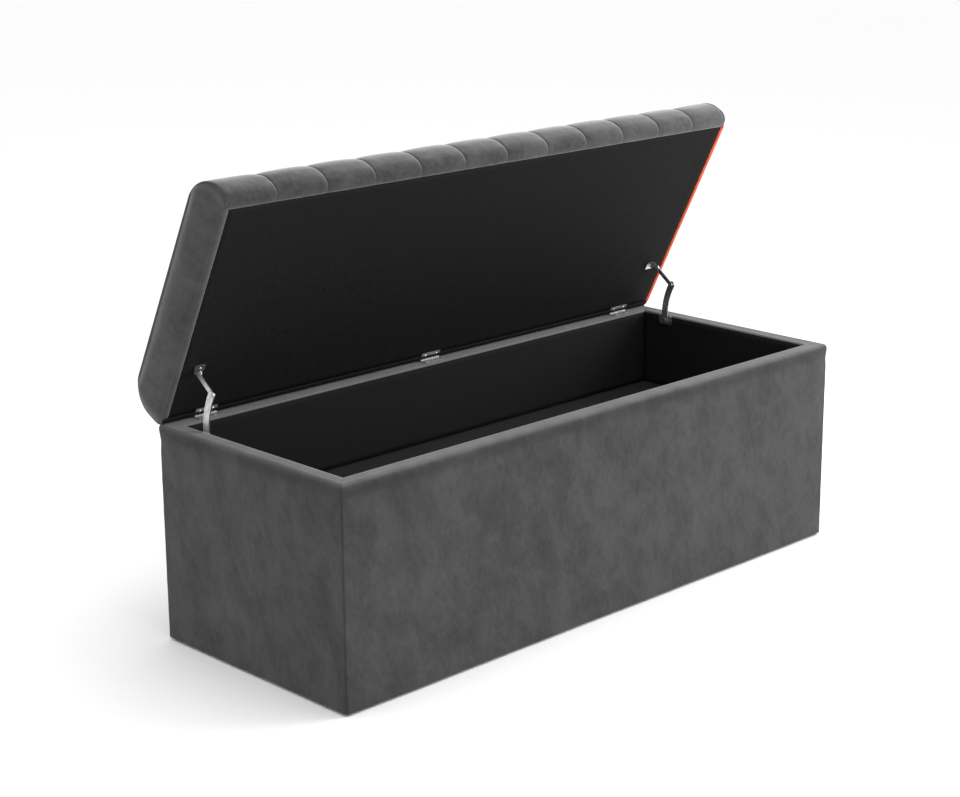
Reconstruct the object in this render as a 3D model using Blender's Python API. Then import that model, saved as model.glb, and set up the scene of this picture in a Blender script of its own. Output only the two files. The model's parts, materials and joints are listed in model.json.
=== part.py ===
"""Upholstered storage bench with a padded lid on three butt hinges and two folding lid stays.

Metres, +Z up.  The origin is on the floor under the middle of the box, +X runs along the bench
to its right end and -Y points to its front.  The lid is modelled held open on its stays.
"""
from math import acos, atan2, ceil, cos, hypot, pi, radians, sin

import bmesh
import bpy
from mathutils import Vector

# ---------------------------------------------------------------- driving dimensions
BOX_LENGTH = 1.340          # outside of the cloth, end to end
BOX_DEPTH = 0.510           # outside of the cloth, front to back
BOX_HEIGHT = 0.420          # floor to the top of the padded rim
STORAGE_DEPTH = 0.163       # rim to the lined floor inside
GAP = 0.0003                # air between two pieces that touch

# walls, from the outside in
VELVET = 0.0018             # upholstery cloth with its backing
WALL_FOAM = 0.013           # padding on the outside of each board
WALL_BOARD = 0.016          # chipboard carcass
LINING = 0.0018             # black lining cloth
RIM_RADIUS = 0.014          # roll of the padding over the outer top edge
RIM_TURN = 0.012            # velvet turned down inside the rim

# base
GLIDE_HEIGHT = 0.004
GLIDE_RADIUS = 0.012
GLIDE_INSET = 0.045         # from the outside of the box to a corner glide's centre
BASE_CLOTH = 0.0012         # dust cover under the box
FLOOR_BOARD = 0.009
RAIL_WIDTH = 0.022
RAIL_HEIGHT = 0.035
STRETCHER_WIDTH = 0.080
STRETCHER_THICKNESS = 0.018

# lid
LID_THICKNESS = 0.095
LID_GAP = 0.005             # between rim and lid when it is shut
LID_OPEN = 63.5             # degrees above the rim where the stays hold it
LID_BOARD = 0.012
LID_BOARD_INSET = 0.002     # board edge to the start of the lid's rounded edges
LID_TOP_RADIUS = 0.58 * LID_THICKNESS
LID_FRONT_RADIUS = 0.022    # lower front edge
LID_BACK_WIDTH = 0.014      # the lower back edge is a quarter ellipse, so that it
LID_BACK_HEIGHT = 0.030     # swings clear of the rim behind the hinge line
LID_WRAP = 0.006            # velvet turned under the lid, up to its lining
LID_LEFT_WRAP = 0.013       # the same at the left end
PIPING_WIDTH = 0.003        # coloured edge strip beside the lining, right end only

# butt hinges
HINGE_INSET = 0.010         # hinge line from the back of the box
HINGE_SPREAD = 0.570        # middle hinge to each outer hinge
HINGE_LENGTH = 0.050
HINGE_LEAF = 0.016          # leaf width from the hinge line forwards
HINGE_SHEET = 0.0012
KNUCKLE_RADIUS = 0.0022
KNUCKLE_SHARE = 0.30        # each outer knuckle's share of the hinge length
PIN_RADIUS = 0.0011
PIN_CLEARANCE = 0.0003
SCREW_HOLE_RADIUS = 0.0018
HINGE_HOLE_SPREAD = 0.015   # hinge middle to each screw hole
HINGE_HOLE_REACH = 0.010    # hinge line to the screw holes

# lid stays: pivots are given forward of and above the hinge line
STAY_FOOT = (0.085, -0.014)
STAY_KNEE = (0.1038, 0.0684)
STAY_LID_REACH = 0.1178     # along the lid from the hinge line
STAY_LID_DROP = 0.011       # below the hinge plane of the lid
STAY_SHEET = 0.0025
STAY_PLATE = 0.002
LOWER_ARM_WIDTH = 0.016
LOWER_ARM_BOW = 0.006
UPPER_ARM_WIDTH = 0.009
RIVET_RADIUS = 0.0022
RIVET_CLEARANCE = 0.0003
RIVET_HEAD_RADIUS = 0.0045
RIVET_HEAD = 0.0013
FOOT_LENGTH = 0.036
FOOT_HEIGHT = 0.020
FOOT_HOLE_SPREAD = 0.0125
BRACKET_WIDTH = 0.016
BRACKET_FLANGE = 0.022

# ---------------------------------------------------------------- worked-out places
ARC_STEP = radians(9)
ROUND_SIDES = 24
SKIN = VELVET + GAP
BOARD_DEPTH = SKIN + WALL_FOAM + GAP                 # outside of the cloth to the board
WALL = BOARD_DEPTH + WALL_BOARD + GAP + LINING       # whole wall
HALF_LENGTH = BOX_LENGTH / 2
HALF_DEPTH = BOX_DEPTH / 2
WALL_BOTTOM = GLIDE_HEIGHT + BASE_CLOTH + GAP
WALL_TOP = BOX_HEIGHT - SKIN
FLOOR_LEVEL = BOX_HEIGHT - STORAGE_DEPTH
AXIS_Y = HALF_DEPTH - HINGE_INSET
AXIS_Z = BOX_HEIGHT + LID_GAP / 2
LID_UNDERSIDE = LID_GAP / 2                          # above the hinge line, in the lid's frame
LID_FRONT = BOX_DEPTH - HINGE_INSET                  # forward of the hinge line
LID_BOARD_FROM = LID_BACK_WIDTH - HINGE_INSET + LID_BOARD_INSET
LID_BOARD_TO = LID_FRONT - LID_FRONT_RADIUS - LID_BOARD_INSET
LID_BOARD_TOP = LID_UNDERSIDE + SKIN + LID_BOARD
INNER_FACE = HALF_LENGTH - WALL                      # lined face of each end wall

COLOURS = {
    "velvet": ((0.075, 0.077, 0.082), 0.85, 0.0),
    "foam": ((0.78, 0.72, 0.55), 0.95, 0.0),
    "board": ((0.55, 0.40, 0.25), 0.75, 0.0),
    "lining": ((0.012, 0.012, 0.013), 0.90, 0.0),
    "steel": ((0.62, 0.62, 0.64), 0.30, 1.0),
    "plastic": ((0.02, 0.02, 0.02), 0.55, 0.0),
    "piping": ((0.75, 0.09, 0.03), 0.70, 0.0),
}


# ---------------------------------------------------------------- scene and materials
def clear_scene():
    for item in list(bpy.data.objects):
        bpy.data.objects.remove(item, do_unlink=True)


def new_collection(name):
    group = bpy.data.collections.new(name)
    bpy.context.scene.collection.children.link(group)
    return group


def principled(name, colour, roughness, metallic):
    material = bpy.data.materials.new(name)
    material.use_nodes = True
    shader = material.node_tree.nodes["Principled BSDF"]
    shader.inputs["Base Color"].default_value = (*colour, 1.0)
    shader.inputs["Roughness"].default_value = roughness
    shader.inputs["Metallic"].default_value = metallic
    material.diffuse_color = (*colour, 1.0)
    return material


clear_scene()
PARTS = new_collection("storage_bench")
CUTTERS = new_collection("cutters")


# ---------------------------------------------------------------- building blocks
def face_outwards(shape):
    """Make a closed shape's faces agree and point out of it."""
    bmesh.ops.recalc_face_normals(shape, faces=shape.faces)
    if shape.calc_volume(signed=True) < 0:
        bmesh.ops.reverse_faces(shape, faces=shape.faces)


def add_object(name, mesh_data, finish, place=(0, 0, 0), turn=0.0, parent=None):
    """Put a bmesh into its own object, turned about X, with a material of its own."""
    mesh = bpy.data.meshes.new(name)
    face_outwards(mesh_data)
    mesh_data.to_mesh(mesh)
    mesh_data.free()
    mesh.materials.append(principled(f"{name}_{finish}", *COLOURS[finish]))
    item = bpy.data.objects.new(name, mesh)
    PARTS.objects.link(item)
    item.location = place
    item.rotation_euler.x = turn
    item.parent = parent
    return item


def box_mesh(low, high):
    """A box between two corners."""
    shape = bmesh.new()
    bmesh.ops.create_cube(shape, size=1.0)
    size = Vector(high) - Vector(low)
    bmesh.ops.scale(shape, vec=size, verts=shape.verts)
    bmesh.ops.translate(shape, vec=(Vector(high) + Vector(low)) / 2, verts=shape.verts)
    return shape


def block(name, low, high, finish, **placing):
    return add_object(name, box_mesh(low, high), finish, **placing)


def extruded_mesh(outline, start, end):
    """An outline of (y, z) points, extruded along X from start to end."""
    shape = bmesh.new()
    corners = [shape.verts.new((start, y, z)) for y, z in outline]
    face = shape.faces.new(corners)
    grown = bmesh.ops.extrude_face_region(shape, geom=[face])
    moved = [part for part in grown["geom"] if isinstance(part, bmesh.types.BMVert)]
    bmesh.ops.translate(shape, vec=(end - start, 0, 0), verts=moved)
    return shape


def extruded(name, outline, start, end, finish, **placing):
    return add_object(name, extruded_mesh(outline, start, end), finish, **placing)


def cylinder_mesh(centre, radius, length):
    """A cylinder along X, its middle at centre."""
    shape = bmesh.new()
    bmesh.ops.create_cone(shape, cap_ends=True, segments=ROUND_SIDES,
                          radius1=radius, radius2=radius, depth=length)
    bmesh.ops.rotate(shape, cent=(0, 0, 0), verts=shape.verts,
                     matrix=Vector((0, 0, 1)).rotation_difference(Vector((1, 0, 0))).to_matrix())
    bmesh.ops.translate(shape, vec=centre, verts=shape.verts)
    return shape


def upright_mesh(centre, radius, length):
    """A cylinder along Z, its middle at centre."""
    shape = bmesh.new()
    bmesh.ops.create_cone(shape, cap_ends=True, segments=ROUND_SIDES,
                          radius1=radius, radius2=radius, depth=length)
    bmesh.ops.translate(shape, vec=centre, verts=shape.verts)
    return shape


def combine(item, other, operation):
    """Cut a shape out of a piece, or join it on, in the piece's own frame."""
    mesh = bpy.data.meshes.new(f"{item.name}_{operation.lower()}")
    face_outwards(other)
    other.to_mesh(mesh)
    other.free()
    tool = bpy.data.objects.new(mesh.name, mesh)
    CUTTERS.objects.link(tool)
    tool.location = item.location
    tool.rotation_euler = item.rotation_euler
    tool.parent = item.parent
    tool.hide_render = True
    tool.display_type = "WIRE"
    step = item.modifiers.new(operation.title(), "BOOLEAN")
    step.operation = operation
    step.solver = "EXACT"
    step.object = tool


def smooth(item):
    """Shade the round faces smooth and keep the edges crisp."""
    item.data.shade_smooth()
    item.data.set_sharp_from_angle(angle=radians(30))


def arc(centre, radii, start, end):
    """Points on an arc or a quarter ellipse; angles run from +Y towards +Z."""
    steps = max(2, ceil(abs(end - start) / ARC_STEP))
    turns = [start + (end - start) * step / steps for step in range(steps + 1)]
    return [(centre[0] + radii[0] * cos(turn), centre[1] + radii[1] * sin(turn)) for turn in turns]


# ---------------------------------------------------------------- box walls
# Each wall is drawn as an outline in (depth, height): depth runs inwards from the outside of
# the cloth, height is up from the floor.

def rim_path(inset, inner):
    """Outer face of a wall, up over its rounded rim and level to the given depth."""
    radius = RIM_RADIUS - inset
    centre = (RIM_RADIUS, BOX_HEIGHT - RIM_RADIUS)
    roll = arc(centre, (radius, radius), pi, pi / 2)
    return roll + [(inner, BOX_HEIGHT - inset)]


def foam_outline():
    """Padding sheet: flat against the board, rounded over at the rim."""
    low = [(BOARD_DEPTH - GAP, WALL_BOTTOM), (SKIN, WALL_BOTTOM)]
    return low + rim_path(SKIN, BOARD_DEPTH - GAP)


def cover_outline():
    """Velvet: the outside face, the roll over the rim and the turn-down inside it."""
    turn_end = BOX_HEIGHT - RIM_TURN
    outside = [(0, GLIDE_HEIGHT)] + rim_path(0, WALL) + [(WALL, turn_end)]
    inside = [(VELVET, GLIDE_HEIGHT)] + rim_path(VELVET, WALL - VELVET)
    inside.append((WALL - VELVET, turn_end))
    return outside + inside[::-1]


def lining_outline():
    """Lining cloth from the storage floor up to the turned-down velvet."""
    low = FLOOR_LEVEL + GAP
    high = BOX_HEIGHT - RIM_TURN - GAP
    return [(WALL, low), (WALL - LINING, low), (WALL - LINING, high), (WALL, high)]


def mitred_wall(name, outline, half_run, half_across, side, finish):
    """Run an outline along one wall and mitre both ends against the next walls.

    side is the wall's outward direction, (0, -1) for the front.
    """
    shape = extruded_mesh(outline, -1.0, 1.0)
    for corner in shape.verts:
        end = 1 if corner.co.x > 0 else -1
        corner.co.x = end * (half_run - corner.co.y - GAP / 2)
    for corner in shape.verts:
        run, depth, height = corner.co
        out = half_across - depth
        corner.co = (out * side[0] - run * side[1], out * side[1] + run * side[0], height)
    return add_object(name, shape, finish)


def build_walls():
    walls = {
        "front": ((0, -1), HALF_LENGTH, HALF_DEPTH),
        "back": ((0, 1), HALF_LENGTH, HALF_DEPTH),
        "left": ((-1, 0), HALF_DEPTH, HALF_LENGTH),
        "right": ((1, 0), HALF_DEPTH, HALF_LENGTH),
    }
    layers = {
        "padding": (foam_outline(), "foam"),
        "cover": (cover_outline(), "velvet"),
        "lining": (lining_outline(), "lining"),
    }
    for wall, (side, run, across) in walls.items():
        for layer, (outline, finish) in layers.items():
            mitred_wall(f"{wall}_{layer}", outline, run, across, side, finish)


def build_carcass():
    """Four boards: front and back run the full length, the ends stand between them."""
    outer_x = HALF_LENGTH - BOARD_DEPTH
    outer_y = HALF_DEPTH - BOARD_DEPTH
    inner_y = outer_y - WALL_BOARD
    for name, sign in (("front", -1), ("back", 1)):
        reach = sorted((sign * inner_y, sign * outer_y))
        block(f"{name}_board", (-outer_x, reach[0], WALL_BOTTOM), (outer_x, reach[1], WALL_TOP), "board")
    for name, sign in (("left", -1), ("right", 1)):
        reach = sorted((sign * (outer_x - WALL_BOARD), sign * outer_x))
        span = inner_y - GAP
        block(f"{name}_board", (reach[0], -span, WALL_BOTTOM), (reach[1], span, WALL_TOP), "board")


def build_floor():
    """Storage floor on its rails, with a stretcher and a dust cover below."""
    half_x = HALF_LENGTH - BOARD_DEPTH - WALL_BOARD - GAP
    half_y = HALF_DEPTH - BOARD_DEPTH - WALL_BOARD - GAP
    top = FLOOR_LEVEL - LINING - GAP
    block("floor_lining", (-half_x, -half_y, FLOOR_LEVEL - LINING), (half_x, half_y, FLOOR_LEVEL), "lining")
    block("floor_board", (-half_x, -half_y, top - FLOOR_BOARD), (half_x, half_y, top), "board")
    high = top - FLOOR_BOARD - GAP
    low = high - RAIL_HEIGHT
    inner_y = half_y - RAIL_WIDTH
    block("front_rail", (-half_x, -half_y, low), (half_x, -inner_y, high), "board")
    block("back_rail", (-half_x, inner_y, low), (half_x, half_y, high), "board")
    span = inner_y - GAP
    block("left_rail", (-half_x, -span, low), (RAIL_WIDTH - half_x, span, high), "board")
    block("right_rail", (half_x - RAIL_WIDTH, -span, low), (half_x, span, high), "board")
    block("centre_rail", (-RAIL_WIDTH / 2, -span, low), (RAIL_WIDTH / 2, span, high), "board")
    foot = WALL_BOTTOM + STRETCHER_THICKNESS
    block("base_stretcher", (-STRETCHER_WIDTH / 2, -half_y, WALL_BOTTOM),
          (STRETCHER_WIDTH / 2, half_y, foot), "board")
    cloth_x = HALF_LENGTH - SKIN
    cloth_y = HALF_DEPTH - SKIN
    block("base_cloth", (-cloth_x, -cloth_y, GLIDE_HEIGHT),
          (cloth_x, cloth_y, GLIDE_HEIGHT + BASE_CLOTH), "lining")


def build_glides():
    """Nail-on glides: one under each corner and one under the stretcher."""
    reach_x = HALF_LENGTH - GLIDE_INSET
    reach_y = HALF_DEPTH - GLIDE_INSET
    height = GLIDE_HEIGHT - GAP
    places = {
        "front_left": (-reach_x, -reach_y),
        "front_right": (reach_x, -reach_y),
        "back_left": (-reach_x, reach_y),
        "back_right": (reach_x, reach_y),
        "centre": (0, 0),
    }
    for name, (x, y) in places.items():
        disc = upright_mesh((0, 0, height / 2), GLIDE_RADIUS, height)
        smooth(add_object(f"glide_{name}", disc, "plastic", place=(x, y, 0)))


# ---------------------------------------------------------------- lid
# The lid is drawn shut, in a frame on the hinge line: -Y forward, +Z up.  Its parent empty
# lies on the hinge line and turns it open.

def lid_path(inset, start_height):
    """Round the lid from its lower back edge, over the top, to its lower front edge.

    inset moves the path inwards, and start_height is where it leaves the underside.
    """
    back = (HINGE_INSET - LID_BACK_WIDTH, LID_UNDERSIDE + LID_BACK_HEIGHT)
    back_radii = (LID_BACK_WIDTH - inset, LID_BACK_HEIGHT - inset)
    front = (LID_FRONT_RADIUS - LID_FRONT, LID_UNDERSIDE + LID_FRONT_RADIUS)
    front_radius = LID_FRONT_RADIUS - inset
    top = LID_UNDERSIDE + LID_THICKNESS - LID_TOP_RADIUS
    top_radii = (LID_TOP_RADIUS - inset, LID_TOP_RADIUS - inset)
    back_turn = acos(min(1.0, (back[1] - start_height) / back_radii[1]))
    front_turn = acos(min(1.0, (front[1] - start_height) / front_radius))
    path = arc(back, back_radii, back_turn - pi / 2, 0)
    path += arc((HINGE_INSET - LID_TOP_RADIUS, top), top_radii, 0, pi / 2)
    path += arc((LID_TOP_RADIUS - LID_FRONT, top), top_radii, pi / 2, pi)
    path += arc(front, (front_radius, front_radius), pi, 3 * pi / 2 - front_turn)
    return path


def lid_wrap_ends():
    """Where the velvet under the lid stops, at the back and at the front."""
    back = HINGE_INSET - LID_BACK_WIDTH - LID_WRAP
    front = LID_FRONT_RADIUS - LID_FRONT + LID_WRAP
    return back, front


def lid_cover_outline():
    back, front = lid_wrap_ends()
    outside = [(back, LID_UNDERSIDE)] + lid_path(0, LID_UNDERSIDE) + [(front, LID_UNDERSIDE)]
    level = LID_UNDERSIDE + VELVET
    inside = [(back, level)] + lid_path(VELVET, level) + [(front, level)]
    return outside + inside[::-1]


def build_lid(axis):
    inner_end = HALF_LENGTH - SKIN
    extruded("lid_cover", lid_cover_outline(), -inner_end, inner_end, "velvet", parent=axis)
    build_lid_ends(axis)
    board_end = inner_end - GAP
    block("lid_board", (-board_end, -LID_BOARD_TO, LID_UNDERSIDE + SKIN),
          (board_end, -LID_BOARD_FROM, LID_BOARD_TOP), "board", parent=axis)
    extruded("lid_foam", lid_path(SKIN, LID_BOARD_TOP + GAP), -board_end, board_end, "foam", parent=axis)
    back, front = lid_wrap_ends()
    lining_start = GAP + LID_LEFT_WRAP - HALF_LENGTH
    lining_end = HALF_LENGTH - LID_WRAP - GAP
    piping_from = lining_end - PIPING_WIDTH
    level = LID_UNDERSIDE + VELVET
    block("lid_lining", (lining_start, front + GAP, LID_UNDERSIDE),
          (piping_from - GAP, back - GAP, level), "lining", parent=axis)
    block("lid_piping", (piping_from, front + GAP, LID_UNDERSIDE),
          (lining_end, back - GAP, level), "piping", parent=axis)


def build_lid_ends(axis):
    """Plain end panels: the lid's outline, with a narrow turn-under below the board."""
    back, front = lid_wrap_ends()
    for name, sign, wrap in (("left", -1, LID_LEFT_WRAP), ("right", 1, LID_WRAP)):
        reach = sorted((sign * (HALF_LENGTH - VELVET), sign * HALF_LENGTH))
        panel = extruded(f"lid_end_{name}", lid_path(0, LID_UNDERSIDE), *reach, "velvet", parent=axis)
        turn_in = sorted((sign * (HALF_LENGTH - wrap), sign * (HALF_LENGTH - VELVET / 2)))
        tuck = box_mesh((turn_in[0], front + GAP, LID_UNDERSIDE),
                        (turn_in[1], back - GAP, LID_UNDERSIDE + VELVET))
        combine(panel, tuck, "UNION")


# ---------------------------------------------------------------- butt hinges
def knuckle_spans(middle):
    """X spans of the two outer knuckles, or of the middle one, from the hinge's middle."""
    half = HINGE_LENGTH / 2
    inner = half - HINGE_LENGTH * KNUCKLE_SHARE
    if middle:
        return [(GAP - inner, inner - GAP)]
    return [(-half, -inner), (inner, half)]


def hinge_leaf(name, x, middle, low, high, place, parent=None):
    """A leaf between two heights, its knuckles round the hinge line, its screw holes cut."""
    half = HINGE_LENGTH / 2
    leaf = block(name, (-half, -HINGE_LEAF, low), (half, 0, high), "steel",
                 place=(x, place[0], place[1]), parent=parent)
    for start, end in knuckle_spans(not middle):
        room = cylinder_mesh(((start + end) / 2, 0, 0), KNUCKLE_RADIUS + GAP, end - start + 2 * GAP)
        combine(leaf, room, "DIFFERENCE")
    for start, end in knuckle_spans(middle):
        barrel = cylinder_mesh(((start + end) / 2, 0, 0), KNUCKLE_RADIUS, end - start)
        combine(leaf, barrel, "UNION")
    bore = cylinder_mesh((0, 0, 0), PIN_RADIUS + PIN_CLEARANCE, HINGE_LENGTH + 0.01)
    combine(leaf, bore, "DIFFERENCE")
    for sign in (-1, 1):
        hole = upright_mesh((sign * HINGE_HOLE_SPREAD, -HINGE_HOLE_REACH, (low + high) / 2),
                            SCREW_HOLE_RADIUS, 0.01)
        combine(leaf, hole, "DIFFERENCE")
    return leaf


def build_hinges(axis):
    places = {"left": -HINGE_SPREAD, "middle": 0.0, "right": HINGE_SPREAD}
    rim_level = -LID_GAP / 2 + GAP
    lid_level = LID_GAP / 2 - GAP
    for name, x in places.items():
        hinge_leaf(f"hinge_{name}_rim_leaf", x, False, rim_level, rim_level + HINGE_SHEET, (AXIS_Y, AXIS_Z))
        hinge_leaf(f"hinge_{name}_lid_leaf", x, True, lid_level - HINGE_SHEET, lid_level, (0, 0), axis)
        pin = cylinder_mesh((0, 0, 0), PIN_RADIUS, HINGE_LENGTH)
        smooth(add_object(f"hinge_{name}_pin", pin, "steel", place=(x, AXIS_Y, AXIS_Z)))


# ---------------------------------------------------------------- lid stays
def link_outline(length, width, bow):
    """Outline of a bowed bar with round ends, its pivots at (0, 0) and (-length, 0)."""
    half = width / 2
    steps = 8 if bow else 1
    spine = []
    for step in range(steps + 1):
        share = step / steps
        slope = atan2(4 * bow * (1 - 2 * share), length)
        spine.append((-length * share, 4 * bow * share * (1 - share), slope))
    upper = [(y + half * sin(slope), z + half * cos(slope)) for y, z, slope in spine]
    lower = [(y - half * sin(slope), z - half * cos(slope)) for y, z, slope in spine]
    far = spine[-1]
    near = spine[0]
    far_cap = arc(far[:2], (half, half), pi / 2 - far[2], 3 * pi / 2 - far[2])
    near_cap = arc(near[:2], (half, half), -pi / 2 - near[2], pi / 2 - near[2])
    return upper[1:-1] + far_cap + lower[::-1][1:-1] + near_cap


def along_x(side, start, end):
    """A span measured inwards from an end wall's lined face, as ordered X values."""
    return sorted((side * (INNER_FACE - start), side * (INNER_FACE - end)))


def stay_layers():
    """Depths of the stay's pieces inwards from the end wall's lined face."""
    plate = (GAP, GAP + STAY_PLATE)
    lower = (plate[1] + GAP, plate[1] + GAP + STAY_SHEET)
    upper = (lower[1] + GAP, lower[1] + GAP + STAY_SHEET)
    tab = (upper[1] + GAP, upper[1] + GAP + STAY_PLATE)
    return plate, lower, upper, tab


def cut_pivot(item, y, z, span):
    middle = sum(span) / 2
    combine(item, cylinder_mesh((middle, y, z), RIVET_RADIUS + RIVET_CLEARANCE, 0.02), "DIFFERENCE")


def add_boss(item, y, z, span):
    """Half of the knee rivet, standing on one face of an arm."""
    middle = sum(span) / 2
    boss = cylinder_mesh((middle, y, z), RIVET_HEAD_RADIUS, span[1] - span[0])
    combine(item, boss, "UNION")


def rivet(name, side, shank, head, place, parent=None):
    """A shank through two plates with a head at one end."""
    start, end = along_x(side, *shank)
    pin = cylinder_mesh(((start + end) / 2, 0, 0), RIVET_RADIUS, end - start)
    item = add_object(name, pin, "steel", place=(0, *place), parent=parent)
    start, end = along_x(side, *head)
    cap = cylinder_mesh(((start + end) / 2, 0, 0), RIVET_HEAD_RADIUS, end - start)
    combine(item, cap, "UNION")
    smooth(item)


def rounded_box(length, height, radius):
    """Outline of a plate with rounded corners, centred on its pivot."""
    path = []
    for turn, (sy, sz) in enumerate(((1, 1), (-1, 1), (-1, -1), (1, -1))):
        centre = (sy * (length / 2 - radius), sz * (height / 2 - radius))
        path += arc(centre, (radius, radius), turn * pi / 2, (turn + 1) * pi / 2)
    return path


def build_stay(name, side, axis):
    plate, lower, upper, tab = stay_layers()
    foot = (AXIS_Y - STAY_FOOT[0], AXIS_Z + STAY_FOOT[1])
    knee = (AXIS_Y - STAY_KNEE[0], AXIS_Z + STAY_KNEE[1])
    foot_plate(name, side, plate, foot)
    lower_span = along_x(side, *lower)
    reach = (knee[0] - foot[0], knee[1] - foot[1])
    length = hypot(*reach)
    arm = extruded(f"stay_{name}_lower_arm", link_outline(length, LOWER_ARM_WIDTH, LOWER_ARM_BOW),
                   *lower_span, "steel", place=(0, *foot), turn=-atan2(reach[1], -reach[0]))
    cut_pivot(arm, 0, 0, lower_span)
    add_boss(arm, -length, 0, along_x(side, lower[0] - RIVET_HEAD, lower[1] - STAY_SHEET / 2))
    smooth(arm)
    head = (lower[1] + GAP, lower[1] + GAP + RIVET_HEAD)
    rivet(f"stay_{name}_foot_rivet", side, (plate[0] + GAP, head[0] + GAP), head, foot)

    pivot = (-STAY_LID_REACH, -STAY_LID_DROP)
    turned = radians(LID_OPEN)
    lid_pivot = (AXIS_Y + pivot[0] * cos(turned) - pivot[1] * -sin(turned),
                 AXIS_Z + pivot[0] * -sin(turned) + pivot[1] * cos(turned))
    reach = (knee[0] - lid_pivot[0], knee[1] - lid_pivot[1])
    length = hypot(*reach)
    upper_span = along_x(side, *upper)
    bar = extruded(f"stay_{name}_upper_arm", link_outline(length, UPPER_ARM_WIDTH, 0),
                   *upper_span, "steel", place=(0, *pivot),
                   turn=turned - atan2(reach[1], -reach[0]), parent=axis)
    cut_pivot(bar, 0, 0, upper_span)
    add_boss(bar, -length, 0, along_x(side, upper[0] + STAY_SHEET / 2, upper[1] + RIVET_HEAD))
    smooth(bar)
    lid_bracket(name, side, tab, pivot, axis)
    head = (tab[1] + GAP, tab[1] + GAP + RIVET_HEAD)
    rivet(f"stay_{name}_lid_rivet", side, (upper[0] + GAP, head[0] + GAP), head, pivot, axis)


def foot_plate(name, side, plate, foot):
    """Plate screwed to the end wall, under the lower arm."""
    span = along_x(side, *plate)
    item = extruded(f"stay_{name}_foot_plate", rounded_box(FOOT_LENGTH, FOOT_HEIGHT, FOOT_HEIGHT / 4),
                    *span, "steel", place=(0, *foot))
    cut_pivot(item, 0, 0, span)
    for sign in (-1, 1):
        hole = cylinder_mesh((sum(span) / 2, sign * FOOT_HOLE_SPREAD, 0), SCREW_HOLE_RADIUS, 0.02)
        combine(item, hole, "DIFFERENCE")
    smooth(item)


def lid_bracket(name, side, tab, pivot, axis):
    """Angle bracket: a flange screwed under the lid and a tab down to the upper arm."""
    span = along_x(side, *tab)
    half = BRACKET_WIDTH / 2
    top = LID_UNDERSIDE - GAP
    rise = top - pivot[1]
    outline = [(half, rise), (-half, rise)] + arc((0, 0), (half, half), pi, 2 * pi)
    item = extruded(f"stay_{name}_lid_bracket", outline, *span, "steel", place=(0, *pivot), parent=axis)
    reach = along_x(side, tab[0], tab[0] + BRACKET_FLANGE)
    flange = box_mesh((reach[0], -half, rise - STAY_PLATE), (reach[1], half, rise))
    combine(item, flange, "UNION")
    cut_pivot(item, 0, 0, span)
    middle = sum(along_x(side, tab[1], tab[0] + BRACKET_FLANGE)) / 2
    hole = upright_mesh((middle, 0, rise), SCREW_HOLE_RADIUS, 0.01)
    combine(item, hole, "DIFFERENCE")
    smooth(item)


# ---------------------------------------------------------------- assembly
def lid_axis():
    """The hinge line, with everything on the lid hanging from it."""
    axis = bpy.data.objects.new("lid_axis", None)
    PARTS.objects.link(axis)
    axis.location = (0, AXIS_Y, AXIS_Z)
    axis.rotation_euler.x = -radians(LID_OPEN)
    return axis


def main():
    axis = lid_axis()
    build_carcass()
    build_walls()
    build_floor()
    build_glides()
    build_lid(axis)
    build_hinges(axis)
    build_stay("left", -1, axis)
    build_stay("right", 1, axis)
    bpy.context.view_layer.update()


main()
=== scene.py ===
# %% [markdown]
# # An upholstered storage bench, finished in Blender
#
# The bench is a long chipboard box, padded and covered in charcoal velvet, under a padded lid that
# is tucked into channels.  The lid hangs on three butt hinges and rests on two folding stays.
#
# The moving frame of the bench (boards, hinges, stays) is loaded first and never changed.  Every
# cell after that makes one soft piece or one finish, and fits it to the frame.

import json
from math import ceil, cos, exp, pi, radians, sin

import bmesh
import bpy
from mathutils import Matrix, Vector, noise

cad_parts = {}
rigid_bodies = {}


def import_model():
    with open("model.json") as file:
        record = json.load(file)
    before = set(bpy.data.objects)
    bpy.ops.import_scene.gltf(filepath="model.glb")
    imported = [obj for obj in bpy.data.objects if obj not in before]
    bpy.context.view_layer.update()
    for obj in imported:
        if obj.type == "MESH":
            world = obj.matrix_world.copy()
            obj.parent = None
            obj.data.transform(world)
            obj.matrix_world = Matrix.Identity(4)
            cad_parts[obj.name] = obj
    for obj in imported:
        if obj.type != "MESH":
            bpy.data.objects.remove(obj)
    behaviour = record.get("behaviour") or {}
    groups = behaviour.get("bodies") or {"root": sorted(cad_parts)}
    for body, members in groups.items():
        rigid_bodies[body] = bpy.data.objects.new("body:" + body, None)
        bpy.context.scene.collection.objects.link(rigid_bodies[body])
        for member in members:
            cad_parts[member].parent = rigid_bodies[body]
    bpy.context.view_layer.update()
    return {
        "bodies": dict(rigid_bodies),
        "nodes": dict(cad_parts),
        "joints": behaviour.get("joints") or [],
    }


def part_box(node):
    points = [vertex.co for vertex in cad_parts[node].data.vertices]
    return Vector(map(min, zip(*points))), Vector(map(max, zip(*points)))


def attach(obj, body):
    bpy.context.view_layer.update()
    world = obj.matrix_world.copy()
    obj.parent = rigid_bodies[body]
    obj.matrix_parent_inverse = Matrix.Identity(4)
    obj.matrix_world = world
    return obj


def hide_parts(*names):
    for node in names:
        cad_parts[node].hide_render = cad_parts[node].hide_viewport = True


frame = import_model()
MM = 0.001


def link(name, data):
    """Put a mesh, camera or light in the scene as an object."""
    item = bpy.data.objects.new(name, data)
    bpy.context.scene.collection.objects.link(item)
    return item


print("bodies:", ", ".join(sorted(frame["bodies"])))
print("nodes:", len(frame["nodes"]))

# %% [markdown]
# ## Where things are
#
# Sizes are read off the frame, so the soft pieces follow it.  The lid is easier to shape lying
# shut, so it gets a frame of its own: the hinge line is its X axis, -Y points to the front of the
# lid and +Z out of its padded top.  `LID` turns that frame to where the stays hold the lid open.

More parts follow.
